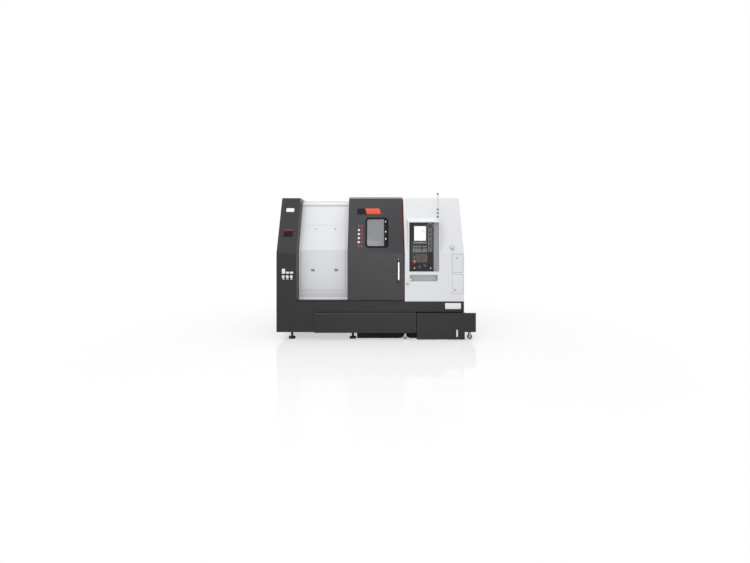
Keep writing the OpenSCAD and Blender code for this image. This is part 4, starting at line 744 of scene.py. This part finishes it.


# The tray's hollow and the bay with its finger scoop get grey painted shade; the tray's ceiling gets the
# darker painted shade.
right_guard = painted(eased("right_front_cover", 0.0012, white_coat), hollow_shade_grey, in_tray)
painted(right_guard, grip_shade, tray_ceiling)
painted(eased("pendant_surround", 0.003, white_coat), hollow_shade_grey, in_bay)
eased("access_door", 0.0009, white_coat)
seam_dark = finish("seam_shadow", (0.16, 0.16, 0.165), 0.6, grain=(0.002, 2e-5))
cover_at = [(1.106, front, 0.748)]
plates("lower_cover_seam", (0.148, 0.262, 0.006), (0.0006, 0.0002), cover_at, "machine",
       seam_dark)
plates("lower_cover", (0.143, 0.257, 0.004), (0.0016, 0.0008), cover_at, "machine", white_coat)
spun("lower_cover_lock", quarter_turn, [(1.066, front - 0.0016, 0.668)], forward, 24, "machine",
     hard_steel)
spun("access_door_lock", quarter_turn, [(1.091, front, 1.098)], forward, 24, "access_door",
     hard_steel)

# Lever beside the tray: a pale moulded grip on a grey boss that is screwed to the right guard.
# The grip widens from the boss, bows outwards, and is rounded off at its end.
boss = [(0.017, 0.0), (0.017, 0.012), (0.014, 0.017), (0.0, 0.018)]
boss_x, boss_z = 0.424, 0.751
spun("lever_boss", boss, [(boss_x, front, boss_z)], forward, 28, "machine", hub_grey)
share = np.linspace(0.0, 1.0, 13)[:, None]
about = np.linspace(0.0, 2 * np.pi, 20, endpoint=False)[None]
path = np.array([boss_x, front - 0.012, boss_z]) + share * np.array([0.046, 0.0, 0.076])
path[:, 1] -= 0.010 * np.sin(np.pi * share[:, 0] / 2)
end_round = np.sqrt(np.maximum(0.02, 1.0 - np.maximum(0.0, share - 0.88) ** 2 / 0.0145))
half = (0.0075 + 0.0055 * np.sin(np.pi * share / 2)) * end_round
lever_across = np.array([0.855, 0.0, -0.518])
lever_deep = np.array([0.0, 0.55, 0.0])
lever = path[:, None] + (half * np.cos(about))[..., None] * lever_across
lever = lever + (half * np.sin(about))[..., None] * lever_deep
skin("guard_lever", lever, "machine", pale_plate)

# Control panel: a black moulded case on hinge pins, with a display under glass and two films for the keys.
# The display shows a blank page with a faint grid of fields, inside a raised rim.
case_black = finish("case_black", (0.010, 0.010, 0.011), 0.46, drift=(0.2, 0.06), rub=(0.03, 0.06),
                    grain=(0.0008, 2e-5), Specular_IOR_Level=0.25)
eased("pendant_case", 0.004, case_black)
eased("pendant_screen", 0.0006, black_plastic)
low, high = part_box("pendant_screen")
panel_at = np.array([low[0] - 0.0575, front, low[2] - 0.4125])
screen_w, screen_h = high[0] - low[0], high[2] - low[2]
screen_mid = ((low[0] + high[0]) / 2, low[1], (low[2] + high[2]) / 2)
display = finish("display", (0.88, 0.89, 0.90), 0.12, drift=(0.3, 0.01), rub=(0.1, 0.02),
                 grain=(0.1, 2e-6), Emission_Color=(0.95, 0.97, 1.0, 1.0), Emission_Strength=0.25)
plates("display_page", (screen_w - 0.008, screen_h - 0.008, 0.003), (0.0012, 0.0004), [screen_mid], "pendant",
       display)
field_grey = finish("display_field", (0.83, 0.85, 0.87), 0.14, drift=(0.3, 0.02), rub=(0.1, 0.02),
                    grain=(0.1, 2e-6))
fields = [(0.0, 0.088, 0.140, 0.010), (-0.036, 0.050, 0.066, 0.002), (-0.036, 0.030, 0.066, 0.002),
          (-0.036, 0.010, 0.066, 0.002), (0.038, 0.030, 0.060, 0.044), (0.0, -0.050, 0.140, 0.002),
          (0.0, -0.088, 0.140, 0.008)]
fields = [laid(plate(rounded(w, h, 0.0009, 2), 0.0003, 0.0001) + (x, z, 0.0011), screen_mid)
          for x, z, w, h in fields]
skin("display_fields", fields, "pendant", field_grey)
film_wear = {"drift": (0.1, 0.05), "rub": (0.03, 0.05), "grain": (0.001, 1e-5)}
panel_grey = finish("panel_film", (0.030, 0.030, 0.032), 0.42, Specular_IOR_Level=0.3, **film_wear)
column_grey = finish("column_film", (0.095, 0.096, 0.100), 0.40, **film_wear)
for word, x, z, w, h, coat in (("main", 0.128, 0.261, 0.214, 0.294, panel_grey),
                               ("column", 0.276, 0.458, 0.062, 0.384, column_grey)):
    plates("panel_film_" + word, (w, h, 0.008), (0.0008, 0.0003), [panel_at + (x, 0, z)], "pendant",
           coat)
rim = rounded(screen_w + 0.022, screen_h + 0.022, 0.006)
rim_in = rounded(screen_w - 0.006, screen_h - 0.006, 0.004)
rim_steps = ((rim, 0.0), (rim, 0.0025), (rim * 0.985, 0.0040), (rim_in * 1.01, 0.0040), (rim_in, 0.0025),
             (rim_in, 0.0))
rim_rings = np.stack([np.insert(outline, 2, rise, 1) for outline, rise in rim_steps])
rim_rings = laid(rim_rings, (screen_mid[0], front, screen_mid[2]))
skin("display_rim", rim_rings, "pendant", panel_grey, loop=True)

# Keys: rows of small caps under and beside the display, moulded in greys, browns and amber.
# Every cap is crowned and drawn in toward its top.
key_wear = {"rub": (0.01, 0.05), "grain": (0.0008, 1e-5)}
key_light = finish("key_light", (0.29, 0.293, 0.297), 0.42, drift=(0.01, 0.10), **key_wear)
key_dark = finish("key_dark", (0.060, 0.060, 0.063), 0.44, drift=(0.01, 0.12), **key_wear)
key_amber = finish("key_amber", (0.21, 0.115, 0.075), 0.42, drift=(0.01, 0.10), **key_wear)
key_brown = finish("key_brown", (0.105, 0.088, 0.078), 0.42, drift=(0.01, 0.10), **key_wear)


def key_caps(name, places, size, coat):
    """One crowned cap at each place: a rounded outline that narrows by steps as it rises to its domed top."""
    outline = rounded(*size, 0.0022, 3)
    rise = np.array([0.0, 0.0024, 0.0034, 0.0038])
    narrow = np.array([1.0, 1.0, 0.90, 0.62])
    cap = np.concatenate([outline[None] * narrow[:, None, None],
                          np.broadcast_to(rise[:, None, None], (4, len(outline), 1))], -1)
    caps = [laid(cap, panel_at + (x, 0.0, z)) for x, z in places]
    return skin(name, caps, "pendant", coat)


def field(at, count, size, pitch):
    """Centres of a field of keys: its lower left corner, plus half a key, plus whole steps of the pitch."""
    i, j = np.meshgrid(np.arange(count[0]), np.arange(count[1]))
    return np.stack([at[0] + size[0] / 2 + i.ravel() * pitch[0],
                     at[1] + size[1] / 2 + j.ravel() * pitch[1]], -1)


soft_size, pad_size, machine_size, side_size = (0.011, 0.022), (0.014, 0.012), (0.015, 0.019), (0.020, 0.014)
softkeys = field((0.050, 0.380), (12, 1), soft_size, (0.015, 0.0))
keypad = field((0.045, 0.263), (10, 5), pad_size, (0.019, 0.017))
machine_keys = field((0.090, 0.132), (8, 4), machine_size, (0.019, 0.027))
side_keys = field((0.252, 0.300), (2, 3), side_size, (0.026, 0.020))
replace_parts(key_caps("softkeys", softkeys, soft_size, key_light), "pendant_keys")
row, column = np.arange(50) // 10, np.arange(50) % 10
dark = (row == 3) | ((column == 6) & (row > 0))
key_caps("keypad_light", keypad[~dark], pad_size, key_light)
key_caps("keypad_dark", keypad[dark], pad_size, key_dark)
amber = np.isin(np.arange(32), (2, 5, 8, 14, 17, 23, 28))
dark = np.isin(np.arange(32), (10, 19, 26))
for word, picked, coat in (("brown", ~(amber | dark), key_brown), ("amber", amber, key_amber),
                           ("dark", dark, key_dark)):
    key_caps("machine_keys_" + word, machine_keys[picked], machine_size, coat)
key_caps("side_keys", side_keys, side_size, key_dark)

# Emergency stop: a moulded orange mushroom head on a plunger, over a yellow collar on the panel.
# The head is pressed towards the collar, where it latches until it is turned.
small_wear = {"rub": (0.01, 0.04), "grain": (0.001, 1e-5)}
estop_orange = finish("stop_orange", (0.52, 0.085, 0.030), 0.30, drift=(0.02, 0.05), **small_wear)
yellow_ring = finish("yellow_ring", (0.72, 0.48, 0.03), 0.40, drift=(0.02, 0.04), **small_wear)
stop_at = [panel_at + (0.065, 0, 0.137)]
mushroom = [(0.0110, -0.023), (0.0110, 0.0090), (0.0185, 0.0090), (0.0235, 0.0120), (0.0240, 0.0165),
            (0.0225, 0.0230), (0.0170, 0.0275), (0.0090, 0.0288), (0.0, 0.0290)]
stop = spun("stop_mushroom", mushroom, stop_at, forward, 40, "estop", estop_orange)
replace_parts(stop, "estop_button")
collar = [(0.0115, 0.0), (0.0225, 0.0), (0.0225, 0.0008), (0.0190, 0.0018), (0.0145, 0.0021),
          (0.0115, 0.0021)]
spun("stop_collar", collar, stop_at, forward, 40, "pendant", yellow_ring, loop=True)

# Dials: two knobs of black plastic on their own shafts, each with a white pointer inside a scale of strokes.
# The knobs are knurled: their radius swells and dips round the rim.
pointer_white = finish("pointer_white", (0.82, 0.82, 0.80), 0.4, grain=(0.001, 1e-5))


def knob(r, t, ribs, depth, count):
    """Rings of a knurled knob, from its foot to its face: the radius dips by depth times a squared cosine
    with the number of ribs, and the last rings draw in to a shallow dish."""
    angle = np.linspace(0.0, 2 * np.pi, count, endpoint=False)[None]
    size = np.array([0.92, 1.0, 1.0, 0.95, 0.80, 0.72, 0.02])[:, None] * r
    rise = np.array([0.0, 0.08, 0.84, 0.97, 1.0, 0.95, 0.95])[:, None] * t
    cut = np.array([0.0, 1.0, 1.0, 0.5, 0.0, 0.0, 0.0])[:, None] * depth
    radius = size - cut * np.cos(ribs * angle / 2) ** 2
    return np.stack([radius * np.cos(angle), radius * np.sin(angle), rise + 0.0 * angle], -1)


dial_knob = knob(0.019, 0.0170, 24, 0.0012, 144)
pointer = plate(rounded(0.0024, 0.0150, 0.0010, 2), 0.0014, 0.0004) + (0.0, 0.0085, 0.0163)
dial_scale = np.radians(np.linspace(-135.0, 135.0, 13))
dial_stroke = plate(rounded(0.0012, 0.0044, 0.0005, 2), 0.0006, 0.0002)
for node, x, z in (("feed_dial", 0.133, 0.060), ("spindle_dial", 0.203, 0.076)):
    place = panel_at + (x, 0, z)
    foot = place + (0, -0.0005, 0)
    piece = skin(node + "_knob", laid(dial_knob, foot), node, black_plastic)
    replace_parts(piece, node)
    skin(node + "_pointer", laid(pointer, foot), node, pointer_white)
    strokes = strokes_about(place, upright, 0.0235, dial_scale, dial_stroke)
    skin(node + "_scale", strokes, "pendant", pointer_white)

# Pulse wheel: a knurled black handwheel on a stem, with a small crank grip near its rim.
# It turns inside a grey flange that carries a ring of fine strokes.
wheel_at = panel_at + (0.278, 0, 0.613)
wheel = laid(knob(0.031, 0.016, 40, 0.0012, 160), wheel_at + (0, -0.005, 0))
wheel = skin("pulse_wheel", wheel, "handwheel", black_plastic)
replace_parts(wheel, "handwheel")
stem = [(0.0060, -0.026), (0.0060, 0.006), (0.0040, 0.007)]
crank = [(0.0045, 0.0205), (0.0045, 0.024), (0.0068, 0.026), (0.0072, 0.038), (0.0060, 0.046),
         (0.0030, 0.0488), (0.0, 0.0490)]
flange = [(0.0315, 0.0), (0.0385, 0.0), (0.0385, 0.0022), (0.0370, 0.0034), (0.0330, 0.0034),
          (0.0315, 0.0024)]
spun("pulse_wheel_stem", stem, [wheel_at], forward, 20, "handwheel", black_plastic)
spun("pulse_wheel_crank", crank, [wheel_at + (0, 0, 0.019)], forward, 20, "handwheel",
     black_plastic)
spun("pulse_wheel_flange", flange, [wheel_at], forward, 56, "pendant", key_light, loop=True)
wheel_scale = np.radians(np.arange(0.0, 360.0, 9.0))
wheel_stroke = plate(rounded(0.0009, 0.0030, 0.0003, 1), 0.0008, 0.0002)
strokes = strokes_about(wheel_at + (0, -0.0030, 0), upright, 0.0350, wheel_scale, wheel_stroke)
skin("pulse_wheel_strokes", strokes, "pendant", black_plastic)

# Buttons, lamp and key switches: four black push buttons in a column, a green pilot lamp and two locks.
# The barrels are bright steel, and each holds a flat key, stamped from sheet.
button = [(0.0130, 0.0), (0.0130, 0.0040), (0.0118, 0.0052), (0.0104, 0.0050), (0.0100, 0.0070),
          (0.0085, 0.0082), (0.0, 0.0086)]
button_places = [panel_at + (0.274, 0, z) for z in (0.531, 0.473, 0.406, 0.355)]
spun("push_buttons", button, button_places, forward, 28, "pendant", black_plastic)
pilot = [(0.0075, 0.0), (0.0075, 0.0030), (0.0062, 0.0045), (0.0055, 0.0066), (0.0030, 0.0082), (0.0, 0.0086)]
lamp_green = finish("lamp_green", (0.24, 0.36, 0.30), 0.2, drift=(0.01, 0.05), rub=(0.01, 0.03),
                    grain=(0.001, 1e-5), Emission_Color=(0.2, 0.9, 0.4, 1.0), Emission_Strength=0.12)
spun("pilot_lamp", pilot, [panel_at + (0.065, 0, 0.192)], forward, 24, "pendant", lamp_green)
barrel = [(0.0095, 0.0), (0.0095, 0.0050), (0.0084, 0.0072), (0.0058, 0.0080), (0.0054, 0.0066),
          (0.0, 0.0066)]
switch_places = [panel_at + (x, 0, z) for x, z in ((0.065, 0.048), (0.284, 0.046))]
spun("key_barrels", barrel, switch_places, forward, 28, "pendant", bright)
key_bow = plate(rounded(0.0200, 0.0180, 0.0060, 3), 0.0022, 0.0006) - (0, 0, 0.0011)
key_shank = plate(rounded(0.0140, 0.0060, 0.0010, 3), 0.0022, 0.0004) - (0, 0, 0.0011)
switch_keys = [laid(blank, p + (0, -reach, 0), across=forward)
               for blank, reach in ((key_bow, 0.0225), (key_shank, 0.0105)) for p in switch_places]
skin("keys_in_switches", switch_keys, "pendant", brushed)

# Signal tower: a thin white pole on a foot, with four pale lenses between white rings, and a dark cap.
# Each lens is a ribbed plastic tube; three dark clamps grip the pole below them.
eased("signal_tower", 0.001, white_coat)
low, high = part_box("signal_lenses")
mast = np.array([(low[0] + high[0]) / 2, (low[1] + high[1]) / 2, low[2]])
lens = finish("lens_plastic", (0.86, 0.87, 0.88), 0.22, drift=(0.02, 0.04), rub=(0.01, 0.04),
              grain=(0.002, 2e-5), Transmission_Weight=0.25)
lens_pitch, rib_pitch = 0.05, 0.004
lens_radius, rib_height = 0.0119, 0.0006
lens_places = [mast + (0, 0, k * lens_pitch) for k in range(4)]
height = np.linspace(0.001, 0.045, 23)
tube = np.stack([lens_radius + rib_height * np.cos(2 * np.pi * height / rib_pitch), height], -1)
tube = np.concatenate([[(0.0095, 0.0)], tube, [(0.0095, 0.046)]])
lenses = spun("signal_tubes", tube, lens_places, upright, 32, "machine", lens)
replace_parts(lenses, "signal_lenses")
ring = [(0.0096, 0.0458), (0.0122, 0.0458), (0.0124, 0.0470), (0.0122, 0.0502), (0.0096, 0.0502)]
spun("signal_rings", ring, lens_places[:3], upright, 32, "machine", white_coat)
cap = [(0.0120, 0.1960), (0.0125, 0.1970), (0.0125, 0.2110), (0.0110, 0.2150), (0.0060, 0.2159),
       (0.0, 0.2160)]
spun("signal_cap", cap, [mast], upright, 32, "machine", tread)
clamp_ring = [(0.0092, -0.010), (0.0118, -0.010), (0.0125, -0.008), (0.0125, 0.008), (0.0118, 0.010),
              (0.0092, 0.010)]
clamp_places = [mast + (0, 0, z) for z in (-0.010, -0.058, -0.107)]
spun("signal_clamps", clamp_ring, clamp_places, upright, 32, "machine", tread, loop=True)

# Electrical cabinet: a white sheet box across the rear, with one hinged door and pressed louvres in it.
# The door has two quarter-turn latches and a rotary main switch on a yellow plate.
eased("electrical_cabinet", 0.0014, white_coat)
eased("cabinet_door", 0.003, white_coat)
back_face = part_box("cabinet_door")[1][1] - 0.0135
louvre_half, louvre_height, louvre_lift, louvre_pitch = 0.130, 0.016, 0.011, 0.026
u = np.linspace(-1.0, 1.0, 17)[:, None]
v = np.linspace(0.0, 1.0, 9)[None]
swell = louvre_lift * np.sqrt(np.maximum(0.0, 1.0 - np.abs(u) ** 8))
swell = swell * np.sin(np.pi * np.minimum(1.0, v * 1.25) / 2) ** 1.5
louvre_face = np.stack([louvre_half * u + 0.0 * v, 0.0 * u + louvre_height * (0.5 - v),
                        swell * (v < 0.999) + 0.0002], -1)
louvre_back = louvre_face[:, ::-1] * (1.0, 1.0, 0.0)
louvre = np.concatenate([louvre_face, louvre_back], 1)
louvre_rows = np.concatenate([0.70 + louvre_pitch * np.arange(9), 1.56 + louvre_pitch * np.arange(7)])
louvres = [laid(louvre, (x, back_face, z), across=leftward) for x in (-0.07, 0.27) for z in louvre_rows]
skin("cabinet_louvres", louvres, "cabinet_door", white_coat)
plates("main_switch_plate", (0.080, 0.080, 0.008), (0.0004, 0.0002), [(0.41, back_face, 1.40)],
       "cabinet_door", yellow_ring, across=leftward)
red_knob = finish("red_knob", (0.48, 0.020, 0.020), 0.34, drift=(0.02, 0.05), **small_wear)
eased("main_switch", 0.002, red_knob)
latch = [(0.020, 0.0), (0.020, 0.004), (0.017, 0.008), (0.010, 0.010), (0.0, 0.010)]
latch_places = [np.array([0.475, back_face, z]) for z in (0.78, 1.62)]
spun("cabinet_latches", latch, latch_places, backward, 32, "cabinet_door", black_plastic)
wing_places = [place + (0, 0.009, 0) for place in latch_places]
plates("cabinet_latch_wings", (0.010, 0.046, 0.0045), (0.010, 0.003), wing_places, "cabinet_door",
       black_plastic, across=leftward)
rear_face = 0.8375
rear_screws = [(x, rear_face, z) for x in (-1.05, -0.70, -0.36, 0.56, 0.86, 1.16) for z in (0.545, 1.87)]
screws("cabinet_screws", rear_screws, backward, "machine", size=0.9, coat=white_coat)
